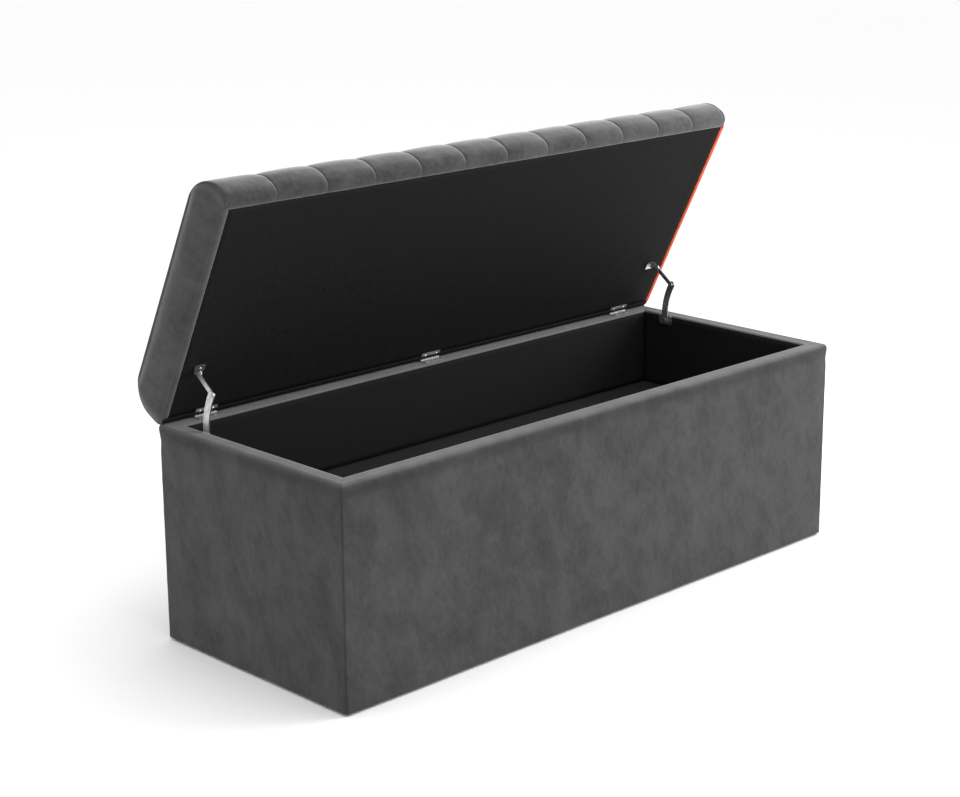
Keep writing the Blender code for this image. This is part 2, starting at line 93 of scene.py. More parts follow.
# %% Measure the frame
hinge_joint = next(joint for joint in frame["joints"] if joint["name"] == "lid_hinge")
LID_OPEN = radians(hinge_joint["range_deg"][1])
LID = Matrix.Translation(Vector(hinge_joint["pos_m"])) @ Matrix.Rotation(-LID_OPEN, 4, "X")


def lid_box(node):
    """Lowest and highest corner of a node in the lid's own frame."""
    shut = [LID.inverted() @ vertex.co for vertex in frame["nodes"][node].data.vertices]
    low = Vector(min(point[axis] for point in shut) for axis in range(3))
    high = Vector(max(point[axis] for point in shut) for axis in range(3))
    return low, high


front_low, front_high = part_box("front_cover")
board_low, board_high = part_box("front_board")
HALF_LENGTH = front_high.x
HALF_DEPTH = -front_low.y
RIM = front_high.z
BASE = front_low.z
WALL = front_high.y - front_low.y
BOARD_DEPTH = board_low.y - front_low.y
lid_low, lid_high = lid_box("lid_cover")
lid_board_low, lid_board_high = lid_box("lid_board")
LID_HALF = lid_box("lid_end_right")[1].x
print(f"box {2 * HALF_LENGTH:.3f} x {2 * HALF_DEPTH:.3f} x {RIM:.3f} m")
print(f"lid {lid_high.z - lid_low.z:.3f} m thick")

# %% [markdown]
# ## The camera and the light
#
# The bench is seen from its front left corner and a little above, through a long lens that keeps
# its edges nearly parallel.  The light is a white room: a bright even world, a wide softbox on the
# right that lifts the rim and the front, one overhead, and a pale floor that throws light back up.

# %% Camera
CAMERA_AZIMUTH = radians(-44.31)
CAMERA_HEIGHT = radians(15.7)
CAMERA_ROLL = radians(-0.35)
CAMERA_DISTANCE = 4.117
CAMERA_AIM = Vector((-0.096, 0.0, 0.4055))
CAMERA_LENS = 79.95

back = Vector((sin(CAMERA_AZIMUTH) * cos(CAMERA_HEIGHT),
               -cos(CAMERA_AZIMUTH) * cos(CAMERA_HEIGHT), sin(CAMERA_HEIGHT)))
camera = link("camera", bpy.data.cameras.new("camera"))
camera.data.lens = CAMERA_LENS
camera.data.sensor_width = 36.0
camera.location = CAMERA_AIM + back * CAMERA_DISTANCE
aim = (-back).to_track_quat("-Z", "Y").to_matrix() @ Matrix.Rotation(CAMERA_ROLL, 3, "Z")
camera.rotation_euler = aim.to_euler()
bpy.context.scene.camera = camera
print("camera at", [round(value, 3) for value in camera.location])


# %% Lights, room and floor
BENCH_MIDDLE = Vector((0.0, 0.0, 0.4))
PALE = 0.985


def softbox(name, place, size, power):
    """A square area light that looks at the middle of the bench."""
    light = bpy.data.lights.new(name, "AREA")
    light.size = size
    light.energy = power
    item = link(name, light)
    item.location = place
    item.rotation_euler = (BENCH_MIDDLE - Vector(place)).to_track_quat("-Z", "Y").to_euler()


softbox("key_light", (2.5, -1.9, 1.5), 1.6, 58)
softbox("top_light", (0.2, -0.6, 3.6), 2.6, 40)
bpy.context.scene.view_settings.view_transform = "Standard"
room = bpy.data.worlds.new("white_room")
bpy.context.scene.world = room
room.use_nodes = True
sky = room.node_tree.nodes["Background"].inputs
sky["Color"].default_value = (1.0, 1.0, 1.0, 1.0)
sky["Strength"].default_value = PALE

floor_shape = bmesh.new()
bmesh.ops.create_grid(floor_shape, x_segments=1, y_segments=1, size=30.0)
floor_mesh = bpy.data.meshes.new("floor")
floor_shape.to_mesh(floor_mesh)
floor_shape.free()
floor = link("floor", floor_mesh)
floor_paint = bpy.data.materials.new("pale_floor")
floor_paint.use_nodes = True
matt = floor_paint.node_tree.nodes["Principled BSDF"].inputs
matt["Base Color"].default_value = (PALE, PALE, PALE, 1.0)
matt["Roughness"].default_value = 0.9
floor_mesh.materials.append(floor_paint)
print("lights: key and top softbox, white room")

# %% [markdown]
# ## Finishes
#
# Each finish is a Principled shader fed by a small node network.  Two effects are shared, so they
# are node groups: `nap`, the brushed pile of velvet, and `weave`, the over and under of a plain
# cloth.  A group only puts out masks, colours and heights; the shader stays in the material.


# %% Node helpers
class Tree:
    """Adds nodes to a node tree and wires them by input name."""

    def __init__(self, tree):
        self.tree = tree

    def add(self, kind, inputs=None, **settings):
        node = self.tree.nodes.new(kind)
        for key, value in settings.items():
            setattr(node, key, value)
        self.feed(node, inputs or {})
        return node

    def feed(self, node, inputs):
        """Wire each socket that is given another socket, and set the others."""
        for key, value in inputs.items():
            if isinstance(value, bpy.types.NodeSocket):
                self.tree.links.new(value, node.inputs[key])
            else:
                node.inputs[key].default_value = value

    def value(self, operation, first, second=0.0):
        return self.add("ShaderNodeMath", {0: first, 1: second}, operation=operation).outputs[0]

    def blend(self, share, first, second):
        """Mix two colours; share is the weight of the second."""
        return self.add("ShaderNodeMix", {0: share, 6: first, 7: second}, data_type="RGBA").outputs[2]

    def speckle(self, where, scale, detail=3.0, distortion=0.0):
        node = self.add("ShaderNodeTexNoise", {"Vector": where, "Scale": scale, "Detail": detail,
                                               "Distortion": distortion})
        return node.outputs["Fac"]

    def spread(self, value, low, high, new_low=0.0, new_high=1.0):
        node = self.add("ShaderNodeMapRange", {"Value": value, "From Min": low, "From Max": high,
                                               "To Min": new_low, "To Max": new_high})
        return node.outputs["Result"]


def node_group(name, inputs, outputs):
    """An empty shader group with named sockets; returns it with its input and output nodes."""
    group = bpy.data.node_groups.new(name, "ShaderNodeTree")
    for title, kind, start in inputs:
        socket = group.interface.new_socket(name=title, in_out="INPUT", socket_type=kind)
        if start is not None:
            socket.default_value = start
    for title, kind in outputs:
        group.interface.new_socket(name=title, in_out="OUTPUT", socket_type=kind)
    return group, group.nodes.new("NodeGroupInput"), group.nodes.new("NodeGroupOutput")


def start_material(name, turn=0.0):
    """A new material: its tree, its shader, and Object coordinates turned about X."""
    material = bpy.data.materials.new(name)
    material.use_nodes = True
    tree = Tree(material.node_tree)
    shader = material.node_tree.nodes["Principled BSDF"]
    where = tree.add("ShaderNodeTexCoord").outputs["Object"]
    turned = tree.add("ShaderNodeMapping", {"Vector": where, "Rotation": (turn, 0.0, 0.0)}).outputs[0]
    return material, tree, shader, turned


def wire_surface(tree, shader, colour, roughness, height, depth, strength):
    """Feed a shader's colour and roughness, and its normal from a height."""
    bump = tree.add("ShaderNodeBump", {"Height": height, "Distance": depth, "Strength": strength})
    tree.feed(shader, {"Base Color": colour, "Roughness": roughness, "Normal": bump.outputs["Normal"]})


# %% [markdown]
# ### Velvet
#
# Velvet is a short standing pile.  Where a hand has brushed it the pile leans another way and looks
# lighter or darker, so the cloth is blotched at the size of a palm, streaked along the way it was
# pulled over the frame, and mottled at the size of a few millimetres.  Its glow at grazing angles
# is the shader's own sheen.

# %% Nap group
nap, nap_in, nap_out = node_group(
    "nap",
    [("Vector", "NodeSocketVector", None), ("Dark", "NodeSocketColor", None),
     ("Light", "NodeSocketColor", None), ("Blotch", "NodeSocketFloat", 0.5),
     ("Streak", "NodeSocketFloat", 0.3), ("Mottle", "NodeSocketFloat", 0.5)],
    [("Color", "NodeSocketColor"), ("Roughness", "NodeSocketFloat"), ("Height", "NodeSocketFloat")])
pile = Tree(nap)
leaning = pile.add("ShaderNodeMapping", {"Vector": nap_in.outputs["Vector"],
                                         "Rotation": (0.30, 0.35, 0.0)})
pulled = pile.add("ShaderNodeMapping", {"Vector": leaning.outputs[0], "Scale": (1.0, 1.0, 0.60)})
drawn = pile.add("ShaderNodeMapping", {"Vector": leaning.outputs[0], "Scale": (1.0, 1.0, 0.22)})
blotches = pile.spread(pile.speckle(pulled.outputs[0], 9.0, 3.0, 0.6), 0.32, 0.68, -0.34, 0.34)
patches = pile.spread(pile.speckle(pulled.outputs[0], 22.0, 2.0, 0.4), 0.35, 0.65, -0.40, 0.40)
streaks = pile.spread(pile.speckle(drawn.outputs[0], 65.0, 2.0), 0.3, 0.7, -0.5, 0.5)
mottling = pile.spread(pile.speckle(pulled.outputs[0], 110.0, 3.0), 0.3, 0.7, -0.5, 0.5)
fibres = pile.speckle(nap_in.outputs["Vector"], 900.0, 2.0)
level = pile.value("MULTIPLY", pile.value("ADD", blotches, patches), nap_in.outputs["Blotch"])
level = pile.value("ADD", level, pile.value("MULTIPLY", streaks, nap_in.outputs["Streak"]))
level = pile.value("ADD", level, pile.value("MULTIPLY", mottling, nap_in.outputs["Mottle"]))
level = pile.value("ADD", level, pile.spread(fibres, 0.3, 0.7, -0.12, 0.12))
level = pile.spread(level, -0.6, 0.6)
nap.links.new(pile.blend(level, nap_in.outputs["Dark"], nap_in.outputs["Light"]), nap_out.inputs["Color"])
nap.links.new(pile.spread(level, 0.0, 1.0, 0.95, 0.78), nap_out.inputs["Roughness"])
soft_height = pile.value("MULTIPLY", mottling, 0.6)
nap.links.new(pile.value("ADD", soft_height, fibres), nap_out.inputs["Height"])
print("nap group:", len(nap.nodes), "nodes")

# %% Weave group
weave, weave_in, weave_out = node_group(
    "weave",
    [("Vector", "NodeSocketVector", None), ("Threads", "NodeSocketFloat", 700.0)],
    [("Height", "NodeSocketFloat"), ("Slub", "NodeSocketFloat")])
cloth = Tree(weave)
parts = cloth.add("ShaderNodeSeparateXYZ", {"Vector": weave_in.outputs["Vector"]})
lean = cloth.value("ADD", parts.outputs["Y"], parts.outputs["Z"])
warp = cloth.value("SINE", cloth.value("MULTIPLY", parts.outputs["X"], weave_in.outputs["Threads"]))
weft = cloth.value("SINE", cloth.value("MULTIPLY", lean, weave_in.outputs["Threads"]))
weave.links.new(cloth.value("MULTIPLY", warp, weft), weave_out.inputs["Height"])
weave.links.new(cloth.speckle(weave_in.outputs["Vector"], 90.0, 4.0), weave_out.inputs["Slub"])
print("weave group:", len(weave.nodes), "nodes")


# %% Velvet materials
# Painted light: a painted highlight, a warm painted highlight on turned edges, and painted shade in seams
# and folds.
PAINTED_ROLL_HIGHLIGHT = (0.165, 0.165, 0.163, 1)
PAINTED_LIP_HIGHLIGHT = (0.200, 0.176, 0.158, 1)
PAINTED_FOLD_SHADE = (0.014, 0.014, 0.015, 1)
DULL = 0.15


def velvet(name, dark, light, turn, blotch, streak, mottle, glow):
    """Velvet with a painted highlight where the cloth rolls over an edge and painted shade down in a seam.
    """
    material, tree, shader, where = start_material(name, turn)
    pile_node = tree.add("ShaderNodeGroup", node_tree=nap)
    tree.feed(pile_node, {"Vector": where, "Dark": (*dark, 1), "Light": (*light, 1),
                          "Blotch": blotch, "Streak": streak, "Mottle": mottle})
    colour = pile_node.outputs["Color"]
    # The roll, lip and fold attributes mix in the painted highlight, the warm painted highlight and the
    # painted shade.
    for attribute, tone in (("roll", PAINTED_ROLL_HIGHLIGHT), ("lip", PAINTED_LIP_HIGHLIGHT), ("fold", PAINTED_FOLD_SHADE)):
        painted = tree.add("ShaderNodeAttribute", attribute_name=attribute).outputs["Fac"]
        colour = tree.blend(painted, colour, tone)
    wire_surface(tree, shader, colour, pile_node.outputs["Roughness"],
                 pile_node.outputs["Height"], 0.0006, 0.45)
    shader.inputs["Sheen Weight"].default_value = glow
    shader.inputs["Sheen Roughness"].default_value = 0.4
    shader.inputs["Sheen Tint"].default_value = (0.88, 0.88, 0.88, 1)
    shader.inputs["Specular IOR Level"].default_value = DULL
    return material


# The lid's copy has a lighter light tone and the lid ends' copy is darker than the box's: painted light and
# painted shade for how the light falls on them.
BOX_VELVET = velvet("box_velvet", (0.027, 0.027, 0.027), (0.063, 0.063, 0.063),
                    turn=0.0, blotch=0.50, streak=0.14, mottle=0.30, glow=0.35)
LIT_LID_VELVET = velvet("lid_velvet", (0.024, 0.024, 0.024), (0.074, 0.074, 0.074),
                    turn=LID_OPEN, blotch=0.60, streak=0.15, mottle=0.60, glow=0.90)
SHADED_END_VELVET = velvet("lid_end_velvet", (0.026, 0.026, 0.026), (0.056, 0.056, 0.056),
                    turn=LID_OPEN, blotch=0.50, streak=0.20, mottle=0.40, glow=0.50)
print("velvets:", BOX_VELVET.name, LIT_LID_VELVET.name, SHADED_END_VELVET.name)


# %% [markdown]
# ### The plainer finishes
#
# The linings are thin black plain weaves, the tape is a bright one, the boards are pressed wood
# chips, the foam is full of small cells, and the metal is plated and finely rubbed.

# %% Lining, tape and foam materials
def woven(name, colour, worn, threads, turn=0.0):
    """Plain cloth with uneven threads."""
    material, tree, shader, where = start_material(name, turn)
    threads_node = tree.add("ShaderNodeGroup", node_tree=weave)
    tree.feed(threads_node, {"Vector": where, "Threads": threads})
    share = tree.spread(threads_node.outputs["Slub"], 0.35, 0.7)
    tone = tree.blend(share, (*colour, 1), (*worn, 1))
    rough = tree.spread(threads_node.outputs["Slub"], 0.3, 0.7, 0.75, 0.95)
    wire_surface(tree, shader, tone, rough, threads_node.outputs["Height"], 0.0003, 0.4)
    shader.inputs["Specular IOR Level"].default_value = DULL
    return material


def foam_material():
    material, tree, shader, where = start_material("cut_foam")
    cells = tree.add("ShaderNodeTexVoronoi", {"Vector": where, "Scale": 420.0}).outputs["Distance"]
    tone = tree.blend(tree.speckle(where, 14.0), (0.62, 0.55, 0.36, 1), (0.80, 0.74, 0.55, 1))
    wire_surface(tree, shader, tone, tree.spread(cells, 0.0, 1.0, 0.85, 1.0), cells, 0.0006, 0.6)
    return material


def chipboard_material():
    material, tree, shader, where = start_material("chipboard")
    chips = tree.add("ShaderNodeTexVoronoi", {"Vector": where, "Scale": 260.0, "Randomness": 1.0})
    tone = tree.blend(tree.spread(chips.outputs["Color"], 0.1, 0.9), (0.36, 0.24, 0.13, 1),
                      (0.62, 0.47, 0.29, 1))
    wire_surface(tree, shader, tone, tree.spread(chips.outputs["Distance"], 0.0, 1.0, 0.6, 0.85),
                 chips.outputs["Distance"], 0.0004, 0.35)
    return material


# One black lining cloth in three copies: the floor's is lighter as painted light and the lid's darker as
# painted shade.
LINING = woven("box_lining", (0.0085, 0.0085, 0.0088), (0.0125, 0.0125, 0.0130), 1500.0)
SHADED_LID_LINING = woven("lid_lining_cloth", (0.0062, 0.0062, 0.0062), (0.0100, 0.0100, 0.0100), 1500.0,
                   turn=LID_OPEN)
LIT_FLOOR_LINING = woven("floor_lining_cloth", (0.022, 0.022, 0.022), (0.030, 0.030, 0.030), 1100.0)
EDGE_TAPE = woven("edge_tape_twill", (0.600, 0.075, 0.028), (0.700, 0.130, 0.055), 2600.0, turn=LID_OPEN)
DUST_CLOTH = woven("dust_cloth", (0.014, 0.014, 0.015), (0.030, 0.030, 0.031), 900.0)
FOAM = foam_material()
CHIPBOARD = chipboard_material()


# %% Metal and plastic materials
def plated(name, bright, dull, rough, metal=1.0):
    """Plated steel: rubbed along its length, duller in patches."""
    material, tree, shader, where = start_material(name)
    rubbed = tree.add("ShaderNodeMapping", {"Vector": where, "Scale": (60.0, 900.0, 900.0)}).outputs[0]
    marks = tree.speckle(rubbed, 1.0, 2.0)
    clouds = tree.speckle(where, 120.0, 3.0)
    tone = tree.blend(tree.spread(clouds, 0.35, 0.7), (*bright, 1), (*dull, 1))
    level = tree.value("ADD", tree.spread(clouds, 0.3, 0.7, rough, rough + 0.14),
                       tree.spread(marks, 0.3, 0.7, -0.04, 0.06))
    wire_surface(tree, shader, tone, level, marks, 0.00008, 0.5)
    shader.inputs["Metallic"].default_value = metal
    return material


def moulded(name, colour):
    material, tree, shader, where = start_material(name)
    grain = tree.speckle(where, 600.0, 3.0)
    tone = tree.blend(grain, (*colour, 1), (*(value * 1.8 for value in colour), 1))
    wire_surface(tree, shader, tone, tree.spread(grain, 0.3, 0.7, 0.45, 0.6), grain, 0.0001, 0.4)
    return material


HINGE_PLATE = plated("hinge_zinc", (0.40, 0.40, 0.41), (0.29, 0.29, 0.30), 0.42, metal=0.6)
STAY_PLATE = plated("stay_nickel", (0.64, 0.64, 0.67), (0.44, 0.44, 0.47), 0.24, metal=0.9)
SCREW_PLATE = plated("screw_zinc", (0.80, 0.80, 0.82), (0.60, 0.60, 0.63), 0.22)
GLIDE_PLASTIC = moulded("glide_nylon", (0.020, 0.020, 0.021))

FINISHES = {
    "board": CHIPBOARD, "rail": CHIPBOARD, "stretcher": CHIPBOARD,
    "padding": FOAM, "foam": FOAM,
    "glide": GLIDE_PLASTIC, "hinge": HINGE_PLATE, "stay": STAY_PLATE,
}
for name, node in frame["nodes"].items():
    finish = next((FINISHES[word] for word in FINISHES if word in name), None)
    if finish is not None:
        node.data.materials.clear()
        node.data.materials.append(finish)
print("finished CAD nodes:", sum(any(word in name for word in FINISHES) for name in frame["nodes"]))

# %% [markdown]
# ## Building padded forms
#
# A padded panel is a thick sheet: an outer skin of velvet and an inner face that lies on the board.
# Both are rows of points with the same count, so the form closes with plain quads and takes a
# subdivision well.  Outlines are drawn as a few points with a smooth curve through them.


# %% Outline helpers
def smooth_line(points, count):
    """Count points on a smooth curve through the given ones."""
    ends = [points[0] * 2 - points[1]] + points + [points[-1] * 2 - points[-2]]
    dense = []
    for index in range(1, len(ends) - 2):
        first, start, end, last = ends[index - 1:index + 3]
        for step in range(12):
            t = step / 12
            dense.append(0.5 * (2 * start + (end - first) * t
                                + (2 * first - 5 * start + 4 * end - last) * t ** 2
                                + (3 * start - first - 3 * end + last) * t ** 3))
    dense.append(points[-1])
    return even_line(dense, count)


def even_line(points, count):
    """Count points at even steps along straight pieces."""
    lengths = [0.0]
    for start, end in zip(points, points[1:]):
        lengths.append(lengths[-1] + (end - start).length)
    placed = []
    piece = 0
    for step in range(count):
        goal = lengths[-1] * step / (count - 1)
        while piece < len(points) - 2 and lengths[piece + 1] < goal:
            piece += 1
        span = lengths[piece + 1] - lengths[piece]
        placed.append(points[piece].lerp(points[piece + 1], (goal - lengths[piece]) / max(span, 1e-9)))
    return placed


def outline(sections):
    """Join sections of (curve kind, outer points, inner points, count) into two matching paths."""
    outer, inner = [], []
    for line, outside, inside, count in sections:
        skip = 1 if outer else 0
        outer += line([Vector(point) for point in outside], count)[skip:]
        inner += even_line([Vector(point) for point in inside], count)[skip:]
    return outer, inner


def arc_points(centre, radii, start, end, count=9):
    """Points on an arc or quarter ellipse; angles run from the first axis to the second."""
    turns = [start + (end - start) * step / (count - 1) for step in range(count)]
    return [(centre[0] + radii[0] * cos(turn), centre[1] + radii[1] * sin(turn)) for turn in turns]


def sag(place, scale, seed=0.0):
    """A soft unevenness between -1 and 1 that is the same on every run."""
    return noise.noise(Vector(place) * scale + Vector((seed, seed * 0.7, -seed)))


def near(distance, reach):
    """1 at a line, fading to 0 over a reach."""
    return exp(-(distance / reach) ** 2)


def clamp(value):
    """A value kept between 0 and 1."""
    return min(1.0, max(0.0, value))


def quarter_round(share):
    """The drop of a quarter circle: 1 at its end, 0 from a share of 1 on."""
    return 1 - (1 - (1 - min(1.0, share)) ** 2) ** 0.5


# %% Thick sheets
def thick_sheet(name, outer, inner, material):
    """Close columns of outer and inner points into one skin and link it as an object."""
    columns, rows = len(outer), len(outer[0])
    points = [point for column in outer + inner for point in column]
    behind = columns * rows

    def at(column, row):
        return column * rows + row

    faces = []
    for column in range(columns - 1):
        for row in range(rows - 1):
            ring = (at(column, row), at(column + 1, row), at(column + 1, row + 1), at(column, row + 1))
            faces += [ring, tuple(index + behind for index in reversed(ring))]
        for row in (0, rows - 1):
            faces.append((at(column, row), at(column + 1, row),
                          at(column + 1, row) + behind, at(column, row) + behind))
    for row in range(rows - 1):
        for column in (0, columns - 1):
            faces.append((at(column, row), at(column, row + 1),
                          at(column, row + 1) + behind, at(column, row) + behind))
    shape = bmesh.new()
    corners = [shape.verts.new(point) for point in points]
    for face in faces:
        shape.faces.new([corners[index] for index in face])
    bmesh.ops.recalc_face_normals(shape, faces=shape.faces)
    if shape.calc_volume(signed=True) < 0:
        bmesh.ops.reverse_faces(shape, faces=shape.faces)
    mesh = bpy.data.meshes.new(name)
    shape.to_mesh(mesh)
    shape.free()
    mesh.shade_smooth()
    mesh.materials.append(material)
    return link(name, mesh)


def paint(piece, name, values):
    """Store one number at each vertex, for a material to read."""
    layer = piece.data.attributes.new(name, "FLOAT", "POINT")
    layer.data.foreach_set("value", values)


def finish_padded(piece, body, light, painted_lip_highlights, dark):
    """Paint light and shade into a padded piece's outer skin, smooth it and print its vertex count."""
    # light is painted highlight, the lip values a warm painted highlight and dark painted shade.
    behind = [0.0] * len(light)
    for name, values in (("roll", light), ("lip", painted_lip_highlights), ("fold", dark)):
        paint(piece, name, values + behind)
    step = piece.modifiers.new("smooth", "SUBSURF")
    step.levels = 1
    step.render_levels = 1
    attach(piece, body)
    print(piece.name, len(piece.data.vertices), "vertices")


# %% [markdown]
# ### Blowing a cushion up
#
# Fabric pulled over foam swells between the lines where it is held.  Blender's cloth gives that
# shape: the panel's inner face, its seams and its ends are pinned, gravity is off and a pressure
# inside pushes the velvet out for 20 frames.  The move is capped, so no point leaves its neighbours'
# reach, and the result is written back to the mesh.

# %% Cloth helper
FRAMES = 20


def blow_up(piece, held, pressure, cap, stiffness=15.0, damping=5.0):
    """Swell a piece by cloth simulation; held lists the pinned vertices."""
    start = [vertex.co.copy() for vertex in piece.data.vertices]
    pins = piece.vertex_groups.new(name="held")
    pins.add(held, 1.0, "REPLACE")
    step = piece.modifiers.new("Cloth", "CLOTH")
    cloth_settings = step.settings
    cloth_settings.vertex_group_mass = "held"
    cloth_settings.quality = 4
    cloth_settings.mass = 0.25
    cloth_settings.tension_stiffness = stiffness
    cloth_settings.compression_stiffness = stiffness
    cloth_settings.shear_stiffness = 3.0
    cloth_settings.bending_stiffness = 0.3
    cloth_settings.tension_damping = damping
    cloth_settings.use_pressure = True
    cloth_settings.uniform_pressure_force = pressure
    cloth_settings.effector_weights.gravity = 0.0
    step.point_cache.frame_start = 1
    step.point_cache.frame_end = FRAMES
    scene = bpy.context.scene
    for frame_number in range(1, FRAMES + 1):
        scene.frame_set(frame_number)
    swollen = piece.evaluated_get(bpy.context.evaluated_depsgraph_get())
    moved = [vertex.co.copy() for vertex in swollen.data.vertices]
    piece.modifiers.remove(step)
    piece.vertex_groups.remove(pins)
    scene.frame_set(1)
    furthest = 0.0
    for vertex, before, after in zip(piece.data.vertices, start, moved):
        shift = after - before
        reach = shift.length
        if reach > 1e-9:
            kept = cap * (1 - exp(-reach / cap))
            shift *= kept / reach
            furthest = max(furthest, kept)
        vertex.co = before + shift
    piece.data.update()
    print(f"{piece.name}: cloth moved up to {furthest / MM:.1f} mm")


# %% [markdown]
# ## The lid cushion
#
# The top of the lid is velvet over foam, sewn down in eleven straight seams that run from the front
# edge over the top to the back, which leaves twelve soft channels.  The seams aren't quite evenly
# spread: towards the middle they sit up to 16 mm to the right.  The seams are drawn in: each is a
# column of points held low, and the channels between them are blown up by the cloth.

# %% Lid outline
CHANNELS = 12
CHANNEL = 2 * LID_HALF / CHANNELS
LID_END_AT = lid_box("lid_cover")[1].x
UNDER = lid_low.z
BACK_V, FRONT_V = -lid_high.y, -lid_low.y
TOP_W = lid_high.z
TOP_ROUND = 0.0551
FRONT_ROUND = 0.022
BACK_ROUND = (0.014, 0.030)
WRAP = 0.006
LEFT_WRAP = LID_HALF + lid_box("lid_lining")[0].x - 0.0003
BOARD_V = (-lid_board_high.y - 0.0003, -lid_board_low.y + 0.0003)
BOARD_W = (lid_board_low.z - 0.0003, lid_board_high.z + 0.0003)
back_centre = (BACK_V + BACK_ROUND[0], UNDER + BACK_ROUND[1])
front_centre = (FRONT_V - FRONT_ROUND, UNDER + FRONT_ROUND)
top_back = (BACK_V + TOP_ROUND, TOP_W - TOP_ROUND)
top_front = (FRONT_V - TOP_ROUND, TOP_W - TOP_ROUND)
WRAP_V = (back_centre[0] + WRAP, front_centre[0] - WRAP)
SHOULDER = 0.05
back_outside = (arc_points(back_centre, BACK_ROUND, -pi / 2, -pi)
                + arc_points(top_back, (TOP_ROUND, TOP_ROUND), pi, pi / 2))
front_outside = (arc_points(top_front, (TOP_ROUND, TOP_ROUND), pi / 2, 0)
                 + arc_points(front_centre, (FRONT_ROUND, FRONT_ROUND), 0, -pi / 2))
lid_sections = [
    (even_line, [(WRAP_V[0], UNDER), (back_centre[0], UNDER)],
     [(WRAP_V[0], BOARD_W[0]), (BOARD_V[0], BOARD_W[0])], 3),
    (even_line, back_outside,
     [(BOARD_V[0], BOARD_W[0]), (BOARD_V[0], BOARD_W[1]), (SHOULDER, BOARD_W[1])], 19),
    (even_line, [back_outside[-1], front_outside[0]],
     [(SHOULDER, BOARD_W[1]), (FRONT_V - SHOULDER, BOARD_W[1])], 33),
    (even_line, front_outside,
     [(FRONT_V - SHOULDER, BOARD_W[1]), (BOARD_V[1], BOARD_W[1]), (BOARD_V[1], BOARD_W[0])], 24),
    (even_line, [(front_centre[0], UNDER), (WRAP_V[1], UNDER)],
     [(BOARD_V[1], BOARD_W[0]), (WRAP_V[1], BOARD_W[0])], 3),
]
lid_outer, lid_inner = outline(lid_sections)
print(f"lid outline: {len(lid_outer)} points, channel {CHANNEL / MM:.1f} mm wide")

# %% Channel columns
SEAM_STEPS = (-7.0, -4.5, -3.0, -1.9, -1.0, 0.0, 1.0, 1.9, 3.0, 4.5, 7.0)
PLAIN_STEPS = 12
EASE = 0.016
seams = [-LID_HALF + CHANNEL * count for count in range(1, CHANNELS)]
seams = [seam + EASE * (1 - (seam / LID_HALF) ** 2) for seam in seams]
column_x = [-LID_END_AT, -LID_END_AT + 0.002, -LID_END_AT + 0.005, -LID_END_AT + 0.009]
for seam in seams:
    start = column_x[-1]
    stop = seam + SEAM_STEPS[0] * MM
    column_x += [start + (stop - start) * step / PLAIN_STEPS for step in range(1, PLAIN_STEPS)]
    column_x += [seam + step * MM for step in SEAM_STEPS]
stop = LID_END_AT - 0.009
start = column_x[-1]
column_x += [start + (stop - start) * step / PLAIN_STEPS for step in range(1, PLAIN_STEPS + 1)]
column_x += [LID_END_AT - 0.005, LID_END_AT - 0.002, LID_END_AT]
print("lid columns:", len(column_x))

# %% Lid cushion
SEAM_DEPTH = 0.0034
CROWN = 0.0006
END_ROLL = 0.0045
BACK_SWELL = 0.0030
FRONT_SLACK = 0.0040
SEAM_REACH = 0.007
END_REACH = 0.012
BACK_BULGE_AT, BACK_BULGE_REACH = 0.010, 0.013


def lid_offset(x, row):
    """How far the velvet stands out from the lid outline at a column and a row."""
    to_seam = min(abs(x - seam) for seam in seams)
    share = min(1.0, to_seam / (CHANNEL / 2))
    pillow = 0.5 * (1 - (1 - share) ** 2) ** 0.6 + 0.5 * (1 - exp(-to_seam / SEAM_REACH))
    v, w = lid_outer[row]
    full = clamp((w - UNDER + 0.001) / 0.012) ** 0.7
    stop = 0.0
    if v < (BACK_V + FRONT_V) / 2:
        full *= clamp((w - 0.028) / 0.04)
        stop = BACK_SWELL * near(w - BACK_BULGE_AT, BACK_BULGE_REACH)
    depth = SEAM_DEPTH * full
    to_end = LID_END_AT - abs(x)
    end = END_ROLL * quarter_round(to_end / END_REACH) * min(1.0, full + 0.25)
    wave = 0.0008 * sag((x, v, w), 9.0, 3.0) * full
    slack = 2 * FRONT_SLACK * clamp((v - top_front[0]) / TOP_ROUND) * clamp((w - top_front[1]) / TOP_ROUND)
    return CROWN * full * pillow - depth * (1 - pillow) - end + wave + stop - slack


def outward(row):
    """Direction out of the lid outline at a row, as (v, w)."""
    before = lid_outer[max(row - 1, 0)]
    after = lid_outer[min(row + 1, len(lid_outer) - 1)]
    along = (after - before).normalized()
    return Vector((-along.y, along.x))


outward_rows = [outward(row) for row in range(len(lid_outer))]
outer_columns, inner_columns = [], []
for x in column_x:
    column = []
    for row, point in enumerate(lid_outer):
        v, w = point + outward_rows[row] * lid_offset(x, row)
        column.append(LID @ Vector((x, -v, w)))
    outer_columns.append(column)
    inner_columns.append([LID @ Vector((x, -point.x, point.y)) for point in lid_inner])
lid_cushion = thick_sheet("lid_cushion", outer_columns, inner_columns, LIT_LID_VELVET)
rows = len(lid_outer)
edge_rows = {0, 1, 2, rows - 3, rows - 2, rows - 1}
held = list(range(len(column_x) * rows, 2 * len(column_x) * rows))
for column, x in enumerate(column_x):
    sewn = min(abs(x - seam) for seam in seams) < 1.5 * MM or LID_END_AT - abs(x) < 1.0 * MM
    for row, point in enumerate(lid_outer):
        at_back = point.x < 0.02 and point.y < 0.05
        if sewn or row in edge_rows or at_back:
            held.append(column * rows + row)
print("lid cushion vertices:", len(lid_cushion.data.vertices), "held", len(held))
blow_up(lid_cushion, held, 3.2, 0.006)
